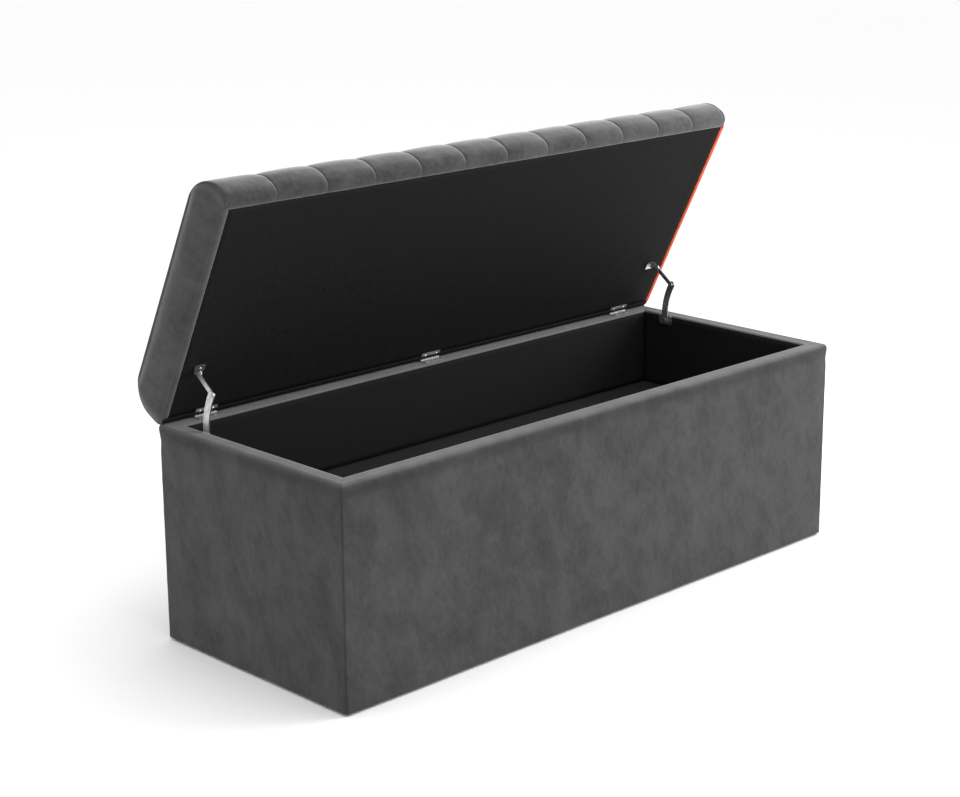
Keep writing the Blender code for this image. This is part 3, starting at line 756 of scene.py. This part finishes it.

# %% [markdown]
# ### Painted light and shade
#
# Three numbers at every point paint light and shade into the velvet: a painted highlight, painted
# shade in the seams and folds, and a warm painted highlight where its turned edge shows.  A seam has a
# painted highlight on one side and painted shade on the other.  The front has a painted highlight
# towards the right end and painted shade low on the left: it is part of the velvet's colour and
# doesn't follow the lamps.  The velvet that wraps the board's back edge takes the black lining cloth
# as painted shade.

# %% Painted light and shade along the channels
FRONT_HALF = 0.3
PAINTED_HIGHLIGHT_FROM, PAINTED_HIGHLIGHT_OVER = FRONT_V - 0.16, 0.12
SEAM_HIGHLIGHT_AT, SEAM_SHADE_AT = -2.2, 1.0
END_SEAM_PAINTED_SHADE = {"left": 0.70, "right": 0.35}
seam_painted_highlight, seam_painted_shade, lip_painted_highlight = [], [], []
for x in column_x:
    offset = min((x - seam for seam in seams), key=abs) / MM
    # Painted shade along the seams to the end panels, stronger on the left.
    end_seam_shade = END_SEAM_PAINTED_SHADE["left" if x < 0 else "right"] * near(LID_END_AT - abs(x), 0.0026)
    # A painted highlight on the front, stronger towards the right end; it stays in the colour whatever the
    # lamps.
    paler = max(0.0, 0.16 + 0.32 * x / LID_HALF)
    for point in lid_outer:
        at_front = point.x > FRONT_HALF
        shown = clamp((point.y - UNDER) / 0.004)
        forward = clamp((point.x - PAINTED_HIGHLIGHT_FROM) / PAINTED_HIGHLIGHT_OVER)
        front_painted_highlight = paler * forward * near(point.y - TOP_W + 0.020, 0.045)
        # A painted highlight on one side of each seam.
        seam_painted_highlight.append(max(front_painted_highlight, 0.85 * near(offset - SEAM_HIGHLIGHT_AT, 1.1) * shown))
        # Painted shade low on the front, stronger towards the left, and painted shade on the other side of
        # each seam.
        low_front_shade = (0.22 - 0.20 * x / LID_HALF) * near(point.y - 0.006, 0.014) if at_front else 0.0
        shaded = 0.85 * near(offset - SEAM_SHADE_AT, 1.6) * shown
        seam_painted_shade.append(max(shaded, low_front_shade, end_seam_shade))
        # A warm painted highlight along the turned front edge.
        on_lip = at_front and point.y < 0.006
        lip_painted_highlight.append(0.6 * near(point.x - WRAP_V[1], 0.0022) if on_lip else 0.0)
# The velvet that wraps the board's back edge takes the black lining cloth: painted shade where the lid meets
# the rim.
lid_cushion.data.materials.append(SHADED_LID_LINING)
back_shade_rows = [row for row, point in enumerate(lid_outer) if point.x < 0.03 and point.y < 0.016]
for polygon in lid_cushion.data.polygons:
    if all(index % rows in back_shade_rows for index in polygon.vertices):
        polygon.material_index = 1
print("rows covered by the black strip:", len(back_shade_rows))
seam_lines = []
for seam in seams:
    column = min(range(len(column_x)), key=lambda index: abs(column_x[index] - seam))
    line = []
    for row in range(4, rows - 4):
        out = LID.to_3x3() @ Vector((0, -outward_rows[row].x, outward_rows[row].y))
        line.append((lid_cushion.data.vertices[column * rows + row].co + out * 0.0006, out))
    seam_lines.append(line)
finish_padded(lid_cushion, "lid", seam_painted_highlight, lip_painted_highlight, seam_painted_shade)
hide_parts("lid_cover", "lid_foam")

# %% [markdown]
# ## The lid's end panels
#
# Each end of the lid is closed with a plain panel in the shape of the lid's outline, sewn to the
# channelled cover by a seam that follows the rounded corners.  It is a grid with one row of points
# at each height of the outline and swells in the middle.  The left one also turns under the board.

# %% End panels
END_LEVELS = 26
END_ACROSS = 70
PANEL_BACK = LID_END_AT + 0.0003
PANEL_SEAM = LID_HALF - 0.0042
PANEL_SWELL = 0.0058
# Painted highlight on the strip turned under the board: warm at its edge, plain over it.
TURN_LIP_HIGHLIGHT = (0.60, 0.10, 0.0)
TURN_PAINTED_HIGHLIGHT = (0.20, 0.20, 0.08)


def outline_span(w):
    """Back and front of the lid outline at a height."""
    def side(centre, radii):
        rise = min(1.0, abs(w - centre[1]) / radii[1])
        return radii[0] * (1 - (1 - rise ** 2) ** 0.5)
    back_v = BACK_V - BACK_SWELL * near(w - BACK_BULGE_AT, BACK_BULGE_REACH)
    front_v = FRONT_V
    if w < back_centre[1]:
        back_v += side(back_centre, BACK_ROUND)
    if w > top_back[1]:
        back_v += side(top_back, (TOP_ROUND, TOP_ROUND))
        front_v -= side(top_front, (TOP_ROUND, TOP_ROUND))
        front_v -= 2 * FRONT_SLACK * (w - top_front[1]) / TOP_ROUND
    if w < front_centre[1]:
        front_v -= side(front_centre, (FRONT_ROUND, FRONT_ROUND))
    return back_v, front_v


def end_panel(name, sign, turned):
    """A padded panel; turned adds the strip that wraps under the board."""
    levels = [UNDER + 0.0003 + (TOP_W - UNDER - 0.0006) * (1 - cos(pi * step / (END_LEVELS - 1))) / 2
              for step in range(END_LEVELS)]
    under_board = BOARD_W[0] - 0.0001
    outer, inner, light, dark, painted_lip_highlights, held = [], [], [], [], [], []
    turn_places = (LEFT_WRAP, LEFT_WRAP - 0.0025, 0.0028) if turned else ()
    rows = [("turn", LID_HALF - place) for place in turn_places]
    rows += [("face", level) for level in levels]
    for row_index, (kind, value) in enumerate(rows):
        outer_row, inner_row = [], []
        for step in range(END_ACROSS):
            share = (1 - cos(pi * step / (END_ACROSS - 1))) / 2
            share = 0.35 * share + 0.65 * step / (END_ACROSS - 1)
            if kind == "turn":
                v = WRAP_V[0] + 0.0003 + (WRAP_V[1] - WRAP_V[0] - 0.0006) * share
                outer_row.append(LID @ Vector((sign * value, -v, UNDER)))
                inner_row.append(LID @ Vector((sign * value, -v, under_board)))
                painted_lip_highlights.append(TURN_LIP_HIGHLIGHT[row_index])
                light.append(TURN_PAINTED_HIGHLIGHT[row_index])
                dark.append(0.0)
                continue
            w = value
            back_v, front_v = outline_span(w)
            v = back_v + (front_v - back_v) * share
            edge = min(TOP_W - w, v - back_v, front_v - v)
            low_edge = w - UNDER
            swell = PANEL_SWELL * (1 - exp(-edge / 0.006)) * (1 - 0.35 * exp(-low_edge / 0.006))
            swell += 0.0009 * sag((sign, v * 0.5, w), 14.0, 5.0) * min(1.0, edge / 0.01)
            pinch = 0.0012 * near(edge, 0.006)
            outer_row.append(LID @ Vector((sign * (PANEL_SEAM + swell - pinch), -v, w)))
            inner_row.append(LID @ Vector((sign * PANEL_BACK, -v, w if turned else max(w, under_board))))
            # A warm painted highlight along the right panel's lower edge, a painted highlight just inside
            # the edges, and painted shade in the seam, darkest at the front.
            painted_lip_highlights.append(0.0 if turned else 0.5 * near(low_edge, 0.0015))
            light.append(max(0.10 * near(low_edge - 0.002, 0.0035), 0.22 * near(edge - 0.012, 0.006)))
            dark.append((0.85 if edge == front_v - v else 0.45) * near(edge, 0.0028))
            if edge < 0.0012 or low_edge < 0.004:
                held.append(row_index * END_ACROSS + step)
        outer.append(outer_row)
        inner.append(inner_row)
    panel = thick_sheet(name, outer, inner, SHADED_END_VELVET)
    count = len(rows) * END_ACROSS
    held += list(range(count, 2 * count))
    if turned:
        held += list(range(len(turn_places) * END_ACROSS))
    blow_up(panel, sorted(set(held)), 2.0, 0.0025)
    finish_padded(panel, "lid", light, painted_lip_highlights, dark)
    return panel


for side, sign, turned in (("left", -1, True), ("right", 1, False)):
    panel = end_panel(f"lid_end_panel_{side}", sign, turned)
    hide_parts(f"lid_end_{side}")

# %% [markdown]
# ## The padded walls of the box
#
# Each wall is a board with a sheet of foam on its outside.  The velvet is pulled over the foam and
# over the rim, and turned down inside.  The rim swells into a soft roll with a slight hollow below
# it, and the corners close with an upright seam that puckers a little.  The back wall's crest is
# higher than the others' and overlaps the lid's swollen back edge.

# %% Wall outline
RIM_CREST = RIM + 0.0003
WALL_IN = BOARD_DEPTH - 0.0003
BOARD_TOP = board_high.z + 0.0003
BOARD_BACK = WALL - 0.0018
TURN_END = RIM - 0.0045
FACE_TOP = RIM - 0.048


def wall_sections(crest, squareness):
    """The wall's outline in (depth inwards, height) for a rim crest and how square its edge is."""
    roll = [(0.0, FACE_TOP), (0.0007, FACE_TOP + 0.014), (0.0002, FACE_TOP + 0.026),
            (-0.0008, RIM - 0.012), (-0.0004 - 0.0008 * squareness, RIM - 0.0050),
            (0.0024 - 0.0014 * squareness, crest - 0.0009 + 0.0007 * squareness),
            (0.0070 - 0.0035 * squareness, crest), (0.0110 - 0.0035 * squareness, RIM)]
    return [
        (even_line, [(0.0013, BASE + 0.0003), (0.0003, BASE + 0.0007), (0.0, BASE + 0.0025)],
         [(0.0019, BASE + 0.0016), (WALL_IN, BASE + 0.0016)], 4),
        (even_line, [(0.0, BASE + 0.0025), (0.0, FACE_TOP)],
         [(WALL_IN, BASE + 0.0016), (WALL_IN, FACE_TOP)], 50),
        (smooth_line, roll, [(WALL_IN, FACE_TOP), (WALL_IN, BOARD_TOP)], 20),
        (even_line, [roll[-1], (WALL - 0.0035, RIM)],
         [(WALL_IN, BOARD_TOP), (BOARD_BACK - 0.0008, BOARD_TOP)], 5),
        (smooth_line, [(WALL - 0.0035, RIM), (WALL - 0.0010, RIM - 0.0008),
                       (WALL, RIM - 0.0028), (WALL, TURN_END)],
         [(BOARD_BACK - 0.0008, BOARD_TOP), (BOARD_BACK, BOARD_TOP), (BOARD_BACK, TURN_END)], 7),
    ]


# %% Wall cushions
WALL_STEP = 0.0075
CORNER_STEPS = (0.0, 0.8, 1.8, 3.2, 5.0, 8.0)
CORNER_ROUND, CORNER_REACH = 0.0030, 0.006
PUCKER, PUCKER_REACH = 0.0006, 0.012
# Painted highlight on the rim crest, painted shade in the hollow below the roll and in the corner seams, and
# a warm painted highlight on the inner edge.
RIM_PAINTED_HIGHLIGHT, RIM_PAINTED_HIGHLIGHT_REACH = 0.75, 0.0042
HOLLOW_PAINTED_SHADE, HOLLOW_DROP, HOLLOW_REACH = 0.58, 0.017, 0.012
CORNER_PAINTED_SHADE, CORNER_PAINTED_SHADE_REACH = 0.35, 0.0035
WALL_LIP_HIGHLIGHT, LIP_REACH = 0.9, 0.0035


def wall_columns(half_run):
    ends = [half_run - step * MM for step in CORNER_STEPS]
    between = ceil(2 * ends[-1] / WALL_STEP)
    middle = [ends[-1] - 2 * ends[-1] * step / between for step in range(1, between)]
    places = ends + middle + [-place for place in reversed(ends)]
    return sorted(places)


def wall_cushion(name, side, half_run, half_across, crest, squareness):
    """One padded wall; side is the wall's outward direction."""
    outer_path, inner_path = outline(wall_sections(crest, squareness))
    places = wall_columns(half_run)
    rows = len(outer_path)
    outer, inner, light, dark, painted_lip_highlights, held = [], [], [], [], [], []
    seed = 11.0 + 5.0 * side[0] + 3.0 * side[1]

    def place(run, depth, height):
        out = half_across - depth
        return Vector((out * side[0] - run * side[1], out * side[1] + run * side[0], height))

    for column, run in enumerate(places):
        to_corner = half_run - abs(run)
        outer_column, inner_column = [], []
        for row in range(rows):
            depth, height = outer_path[row]
            on_face = clamp((0.012 - depth) / 0.008)
            wall_place = place(run, 0.0, height)
            calm = 1 - squareness * near(height - RIM, 0.010)
            swell = calm * (0.0010 * sag(wall_place, 5.0, seed) + 0.0005 * sag(wall_place, 16.0, seed))
            rim = calm * near(height - (RIM - 0.008), 0.016)
            wrinkle = rim * (0.0007 * sag((wall_place.x, wall_place.y, height * 0.25), 34.0, seed)
                             + 0.0004 * sag((wall_place.x, wall_place.y, height * 0.5), 80.0, seed))
            pucker = near(to_corner, PUCKER_REACH) * PUCKER * sag((0.0, 0.0, height), 46.0, seed)
            swell *= 1 - 0.8 * near(to_corner, 0.03)
            round_off = CORNER_ROUND * quarter_round(to_corner / CORNER_REACH)
            depth -= on_face * (swell + wrinkle + pucker - round_off)
            scale = (half_run - outer_path[row].x - 0.00015) / half_run
            edge_pull = 0.0004 * near(to_corner, 0.004) * on_face
            outer_column.append(place(run * scale - (edge_pull if run > 0 else -edge_pull), depth, height))
            scale = (half_run - inner_path[row].x - 0.00015) / half_run
            inner_column.append(place(run * scale, inner_path[row].x, inner_path[row].y))
            # A painted highlight along the crest, weaker on the end walls; a warm painted highlight on the
            # inner edge; painted shade in the hollow and the corner seams.
            crown = near(height - RIM, RIM_PAINTED_HIGHLIGHT_REACH) * (0.75 + 0.25 * sag(wall_place, 30.0, seed))
            crown *= 1 - 0.4 * abs(side[0]) * (1 - clamp(depth / WALL))
            painted_lip_highlights.append(WALL_LIP_HIGHLIGHT * near(depth - WALL + 0.001, LIP_REACH))
            light.append(clamp(RIM_PAINTED_HIGHLIGHT * crown))
            hollow_at = RIM - HOLLOW_DROP + 0.003 * sag(wall_place, 18.0, seed + 2.0)
            hollow = near(height - hollow_at, HOLLOW_REACH) * (0.8 + 0.4 * sag(wall_place, 14.0, seed))
            seam = CORNER_PAINTED_SHADE * near(to_corner, CORNER_PAINTED_SHADE_REACH) * on_face
            dark.append(clamp(max(HOLLOW_PAINTED_SHADE * hollow * on_face, seam)))
            if row < 5 or depth > 0.009 or to_corner < 0.0022:
                held.append(column * rows + row)
        outer.append(outer_column)
        inner.append(inner_column)
    cushion = thick_sheet(name, outer, inner, BOX_VELVET)
    count = len(places) * rows
    held += list(range(count, 2 * count))
    blow_up(cushion, held, 0.35, 0.0018)
    finish_padded(cushion, "box", light, painted_lip_highlights, dark)
    return cushion


WALLS = {
    "front": ((0, -1), HALF_LENGTH, HALF_DEPTH, RIM_CREST, 0.0),
    "back": ((0, 1), HALF_LENGTH, HALF_DEPTH, RIM + 0.0025, 1.0),
    "left": ((-1, 0), HALF_DEPTH, HALF_LENGTH, RIM_CREST, 0.0),
    "right": ((1, 0), HALF_DEPTH, HALF_LENGTH, RIM_CREST, 0.0),
}
for wall, measures in WALLS.items():
    cushion = wall_cushion(f"{wall}_wall_cushion", *measures)
    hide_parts(f"{wall}_cover", f"{wall}_padding")


# %% [markdown]
# ## Linings
#
# Black plain cloth lines the storage space and the underside of the lid, and a thinner one closes
# the box from below.  Each is a thin sheet pulled flat, with the slight unevenness of real cloth.


# %% Lining sheets
SHEET_STEP = 0.011
EDGE_FADE = 0.02


def lining_sheet(name, node, normal, cloth_material, ripple, seed, body):
    """A thin sheet in a node's box; normal is its visible side, ripple how uneven it lies."""
    low, high = lid_box(node) if body == "lid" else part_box(node)
    if not normal[2]:
        high.z = TURN_END - 0.0002
    axis = max(range(3), key=lambda index: abs(normal[index]))
    across = [index for index in range(3) if index != axis]
    sizes = [high[index] - low[index] for index in across]
    steps = [max(4, min(150, ceil(size / SHEET_STEP))) for size in sizes]
    front, rear = (high[axis], low[axis]) if normal[axis] > 0 else (low[axis], high[axis])
    sign = 1 if normal[axis] > 0 else -1
    outer, inner = [], []
    for first in range(steps[0] + 1):
        outer_row, inner_row = [], []
        for second in range(steps[1] + 1):
            point = Vector((0.0, 0.0, 0.0))
            point[across[0]] = low[across[0]] + sizes[0] * first / steps[0]
            point[across[1]] = low[across[1]] + sizes[1] * second / steps[1]
            point[axis] = front
            edge = min(min(point[index] - low[index], high[index] - point[index]) for index in across)
            loose = min(1.0, edge / EDGE_FADE)
            unevenness = 0.5 + 0.35 * sag(point, 7.0, seed) + 0.25 * sag(point, 24.0, seed)
            point[axis] -= sign * ripple * loose * clamp(unevenness)
            back_point = point.copy()
            back_point[axis] = rear
            if body == "lid":
                point, back_point = LID @ point, LID @ back_point
            outer_row.append(point)
            inner_row.append(back_point)
        outer.append(outer_row)
        inner.append(inner_row)
    sheet = thick_sheet(name, outer, inner, cloth_material)
    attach(sheet, body)
    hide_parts(node)
    print(name, "cut", [round(size, 3) for size in sizes])


INNER_SIDES = {"front": (0, 1, 0), "back": (0, -1, 0), "left": (1, 0, 0), "right": (-1, 0, 0)}
for seed, (wall, normal) in enumerate(INNER_SIDES.items()):
    lining_sheet(f"{wall}_lining_sheet", f"{wall}_lining", normal, LINING, 0.0010, seed + 1.0,
                 "box")
lining_sheet("floor_lining_sheet", "floor_lining", (0, 0, 1), LIT_FLOOR_LINING, 0.0010, 7.0,
             "box")
lining_sheet("dust_cloth_sheet", "base_cloth", (0, 0, -1), DUST_CLOTH, 0.0007, 9.0,
             "box")
lining_sheet("lid_lining_sheet", "lid_lining", (0, 0, -1), SHADED_LID_LINING, 0.0009, 13.0,
             "lid")

# %% [markdown]
# ## The edge tape
#
# A bright orange tape finishes the right-hand edge of the lid's underside: it starts beside the
# lining, covers the raw end of the velvet and folds up over the corner.

# %% Edge tape
tape_low, tape_high = lid_box("lid_piping")
TAPE_THICK = 0.0012
TAPE_OUT = LID_HALF + 0.0008
TAPE_STEPS = 90
tape_across = [Vector(point) for point in (
    (tape_low.x - 0.0006, UNDER - 0.0004), (tape_low.x + 0.0010, UNDER - 0.0012),
    (LID_HALF - 0.003, UNDER - 0.0012), (TAPE_OUT - 0.0008, UNDER - 0.0004),
    (TAPE_OUT, UNDER + 0.0022), (TAPE_OUT - 0.0003, UNDER + 0.0050))]
tape_path = smooth_line(tape_across, 14)
outer, inner = [], []
for step in range(TAPE_STEPS + 1):
    v = tape_low.y + (tape_high.y - tape_low.y) * step / TAPE_STEPS
    outer_row, inner_row = [], []
    for index, point in enumerate(tape_path):
        before = tape_path[max(index - 1, 0)]
        after = tape_path[min(index + 1, len(tape_path) - 1)]
        along = (after - before).normalized()
        inside = Vector((-along.y, along.x))
        lift = 0.00015 * sag((0.0, v, index * 0.001), 60.0, 21.0)
        outer_point = point - inside * lift
        inner_point = point + inside * TAPE_THICK
        outer_row.append(LID @ Vector((outer_point.x, v, outer_point.y)))
        inner_row.append(LID @ Vector((inner_point.x, v, inner_point.y)))
    outer.append(outer_row)
    inner.append(inner_row)
edge_tape = thick_sheet("edge_tape", outer, inner, EDGE_TAPE)
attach(edge_tape, "lid")
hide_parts("lid_piping")


# %% [markdown]
# ## Screws, staples and stitches
#
# Small things that repeat are made once and placed many times by Geometry Nodes.  Each kind has its
# own tree: it makes one screw, staple or stitch from a few primitives, sets it on every point of a
# small guide mesh, and turns it the way the guide's attributes say.  The foot plates' screws are
# sunk flush, because the stays' lower arms fold down over them.

# %% Geometry Nodes helpers
class GeometryTree(Tree):
    """A geometry node group with an input geometry, named size inputs and one result."""

    def __init__(self, name, sizes):
        tree = bpy.data.node_groups.new(name, "GeometryNodeTree")
        super().__init__(tree)
        tree.interface.new_socket(name="Geometry", in_out="INPUT", socket_type="NodeSocketGeometry")
        self.identifiers = {}
        for title, start in sizes.items():
            socket = tree.interface.new_socket(name=title, in_out="INPUT", socket_type="NodeSocketFloat")
            socket.default_value = start
            self.identifiers[title] = socket.identifier
        socket = tree.interface.new_socket(name="Material", in_out="INPUT",
                                           socket_type="NodeSocketMaterial")
        self.identifiers["Material"] = socket.identifier
        tree.interface.new_socket(name="Geometry", in_out="OUTPUT", socket_type="NodeSocketGeometry")
        self.start = tree.nodes.new("NodeGroupInput")
        self.end = tree.nodes.new("NodeGroupOutput")

    def size(self, title):
        return self.start.outputs[title]

    def named(self, attribute):
        """Read a vector attribute of the guide mesh."""
        node = self.add("GeometryNodeInputNamedAttribute", {"Name": attribute}, data_type="FLOAT_VECTOR")
        return node.outputs[0]

    def vector(self, x, y, z):
        return self.add("ShaderNodeCombineXYZ", {"X": x, "Y": y, "Z": z}).outputs[0]

    def block(self, size, centre):
        cube = self.add("GeometryNodeMeshCube", {"Size": size}).outputs["Mesh"]
        return self.add("GeometryNodeTransform", {"Geometry": cube, "Translation": centre}).outputs[0]

    def join(self, *meshes):
        node = self.tree.nodes.new("GeometryNodeJoinGeometry")
        for mesh in meshes:
            self.tree.links.new(mesh, node.inputs[0])
        return node.outputs[0]

    def place_on_points(self, shape):
        """Set the shape on every guide point, its Z along "out" and its X along "along"."""
        rise = self.add("FunctionNodeAlignRotationToVector", {"Vector": self.named("out")}, axis="Z")
        turn = self.add("FunctionNodeAlignRotationToVector",
                        {"Rotation": rise.outputs[0], "Vector": self.named("along")},
                        axis="X", pivot_axis="Z")
        points = self.add("GeometryNodeInstanceOnPoints",
                          {"Points": self.start.outputs["Geometry"], "Instance": shape,
                           "Rotation": turn.outputs[0]})
        real = self.add("GeometryNodeRealizeInstances", {"Geometry": points.outputs[0]})
        finished = self.add("GeometryNodeSetMaterial",
                            {"Geometry": real.outputs[0], "Material": self.size("Material")})
        self.tree.links.new(finished.outputs[0], self.end.inputs[0])


def repeat(name, tree, guide, material, body, slot, **sizes):
    """Run a tree over guide points (place, out, along) and keep the result as a plain mesh."""
    mesh = bpy.data.meshes.new(f"{name}_guide")
    mesh.from_pydata([place for place, out, along in guide], [], [])
    for index, title in ((1, "out"), (2, "along")):
        layer = mesh.attributes.new(title, "FLOAT_VECTOR", "POINT")
        layer.data.foreach_set("vector", [number for point in guide for number in point[index]])
    holder = link(f"{name}_guide", mesh)
    step = holder.modifiers.new("repeat", "NODES")
    step.node_group = tree.tree
    step[tree.identifiers["Material"]] = material
    for title, value in sizes.items():
        step[tree.identifiers[title.replace("_", " ")]] = value
    made = bpy.data.meshes.new_from_object(holder.evaluated_get(bpy.context.evaluated_depsgraph_get()))
    bpy.data.objects.remove(holder)
    made.name = name
    print(f"{name}: {len(guide)} of them, {len(made.polygons)} faces")
    piece = link(name, made)
    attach(piece, body)


# %% Screw tree
screw_tree = GeometryTree("screw", {"Radius": 0.003, "Rise": 0.0008, "Slot": 0.0006})
head = screw_tree.add("GeometryNodeMeshCone", {
    "Vertices": 20, "Side Segments": 1, "Fill Segments": 1,
    "Radius Top": screw_tree.value("MULTIPLY", screw_tree.size("Radius"), 0.72),
    "Radius Bottom": screw_tree.size("Radius"), "Depth": screw_tree.size("Rise")}).outputs["Mesh"]
long_slot = screw_tree.value("MULTIPLY", screw_tree.size("Radius"), 1.15)
deep = screw_tree.value("MULTIPLY", screw_tree.size("Rise"), 1.2)
narrow = screw_tree.size("Slot")
head_top = screw_tree.vector(0.0, 0.0, screw_tree.size("Rise"))
slots = [screw_tree.block(screw_tree.vector(*size), head_top)
         for size in ((long_slot, narrow, deep), (narrow, long_slot, deep))]
cross = screw_tree.add("GeometryNodeMeshBoolean", operation="UNION")
for slot in slots:
    screw_tree.tree.links.new(slot, cross.inputs["Mesh 2"])
cut = screw_tree.add("GeometryNodeMeshBoolean", {"Mesh 1": head}, operation="DIFFERENCE")
screw_tree.tree.links.new(cross.outputs["Mesh"], cut.inputs["Mesh 2"])
screw_tree.place_on_points(cut.outputs["Mesh"])

# %% Screws
HOLE_SPREAD = 0.015
HOLE_REACH = 0.010
FOOT_SPREAD = 0.0125
LEAF_METAL = 0.0012
FLANGE_METAL = 0.0020
PROUD = 0.0002
FLUSH = 0.0008
hinge_line = Vector(hinge_joint["pos_m"])
lid_turn = LID.to_3x3()
lid_down = lid_turn @ Vector((0, 0, -1))
box_screws, lid_screws = [], []


def any_turn(place, side):
    """A direction across a screw head, turned by chance as a screwdriver leaves it."""
    across = side.orthogonal().normalized()
    return Matrix.Rotation(pi * sag(place, 90.0, 4.0), 3, side) @ across


for hinge in ("left", "middle", "right"):
    rim_low, rim_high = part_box(f"hinge_{hinge}_rim_leaf")
    leaf_top = lid_box(f"hinge_{hinge}_lid_leaf")[1].z
    for sign in (-1, 1):
        x = (rim_low.x + rim_high.x) / 2 + sign * HOLE_SPREAD
        on_rim = Vector((x, hinge_line.y - HOLE_REACH, rim_low.z + LEAF_METAL - PROUD))
        box_screws.append((on_rim, Vector((0, 0, 1)), any_turn(on_rim, Vector((0, 0, 1)))))
        on_lid = LID @ Vector((x, -HOLE_REACH, leaf_top - LEAF_METAL + PROUD))
        lid_screws.append((on_lid, lid_down, any_turn(on_lid, lid_down)))
for side, sign in (("left", 1), ("right", -1)):
    low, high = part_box(f"stay_{side}_foot_plate")
    face = high.x if sign > 0 else low.x
    inward = Vector((sign, 0, 0))
    for spread in (-FOOT_SPREAD, FOOT_SPREAD):
        on_wall = Vector((face - sign * FLUSH, (low.y + high.y) / 2 + spread, (low.z + high.z) / 2))
        box_screws.append((on_wall, inward, any_turn(on_wall, inward)))
    low, high = lid_box(f"stay_{side}_lid_bracket")
    hole_x = low.x + HOLE_REACH if sign < 0 else high.x - HOLE_REACH
    on_bracket = LID @ Vector((hole_x, (low.y + high.y) / 2, high.z - FLANGE_METAL + PROUD))
    lid_screws.append((on_bracket, lid_down, any_turn(on_bracket, lid_down)))
for name, body, guide in (("box_screws", "box", box_screws), ("lid_screws", "lid", lid_screws)):
    repeat(name, screw_tree, guide, SCREW_PLATE, body, "stay_steel", Radius=0.0030, Rise=0.0009, Slot=0.0006)

# %% [markdown]
# ### Staples and stitches
#
# The dust cloth under the box is stapled every few centimetres, and each seam of the lid is sewn
# with a grey thread.  A staple is a thin bar with two legs, and a stitch a short rod in its seam.

# %% Staple tree
staple_tree = GeometryTree("staple", {"Width": 0.010, "Wire": 0.0007})
width, wire = staple_tree.size("Width"), staple_tree.size("Wire")
crown = staple_tree.block(staple_tree.vector(width, wire, wire), staple_tree.vector(0.0, 0.0, 0.0))
half_width = staple_tree.value("MULTIPLY", width, 0.5)
legs = [staple_tree.block(staple_tree.vector(wire, wire, staple_tree.value("MULTIPLY", wire, 2.0)),
                          staple_tree.vector(staple_tree.value("MULTIPLY", half_width, side), 0.0,
                                             staple_tree.value("MULTIPLY", wire, -0.5)))
        for side in (-1.0, 1.0)]
staple_tree.place_on_points(staple_tree.join(crown, *legs))

# %% Staples
STAPLE_STEP = 0.045
STAPLE_INSET = 0.010
cloth_low, cloth_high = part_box("base_cloth")
staple_points = []
for axis, other in ((0, 1), (1, 0)):
    length = cloth_high[axis] - cloth_low[axis] - 4 * STAPLE_INSET
    count = round(length / STAPLE_STEP)
    for sign in (-1, 1):
        for step in range(count + 1):
            place = Vector((0.0, 0.0, cloth_low.z))
            place[axis] = cloth_low[axis] + 2 * STAPLE_INSET + length * step / count
            place[axis] += 0.004 * sag(place, 31.0, sign)
            place[other] = sign * (cloth_high[other] - STAPLE_INSET) + 0.002 * sag(place, 47.0, 2.0)
            lean = 0.35 * sag(place, 63.0, 8.0)
            along = Vector((0.0, 0.0, 0.0))
            along[axis], along[other] = cos(lean), sin(lean)
            staple_points.append((place, Vector((0, 0, -1)), along))
repeat("dust_cloth_staples", staple_tree, staple_points, SCREW_PLATE, "box", "stay_steel",
       Width=0.010, Wire=0.0007)

# %% Stitch tree
stitch_tree = GeometryTree("stitch", {"Length": 0.0034, "Thread": 0.00045})
barrel = stitch_tree.add("GeometryNodeMeshCylinder", {
    "Vertices": 6, "Side Segments": 1, "Fill Segments": 1, "Radius": stitch_tree.size("Thread"),
    "Depth": stitch_tree.size("Length")}).outputs["Mesh"]
lying = stitch_tree.add("GeometryNodeTransform",
                        {"Geometry": barrel, "Rotation": (0.0, pi / 2, 0.0)}).outputs[0]
stitch_tree.place_on_points(lying)

# %% Stitches
STITCH_STEP = 0.0046
thread, thread_tree, thread_shader, thread_where = start_material("seam_thread")
twist = thread_tree.speckle(thread_where, 1400.0, 2.0)
thread_tone = thread_tree.blend(twist, (0.050, 0.050, 0.050, 1), (0.120, 0.119, 0.116, 1))
wire_surface(thread_tree, thread_shader, thread_tone, thread_tree.spread(twist, 0.3, 0.7, 0.6, 0.8),
             twist, 0.0002, 0.4)
stitch_points = []
for line in seam_lines:
    travelled = 0.0
    next_stitch = STITCH_STEP
    for (start, out), (end, after) in zip(line, line[1:]):
        span = (end - start).length
        while next_stitch < travelled + span:
            share = (next_stitch - travelled) / span
            stitch_points.append((start.lerp(end, share), out.lerp(after, share),
                                  (end - start).normalized()))
            next_stitch += STITCH_STEP
        travelled += span
repeat("lid_seam_stitches", stitch_tree, stitch_points, thread, "lid", "velvet",
       Length=0.0034, Thread=0.00045)
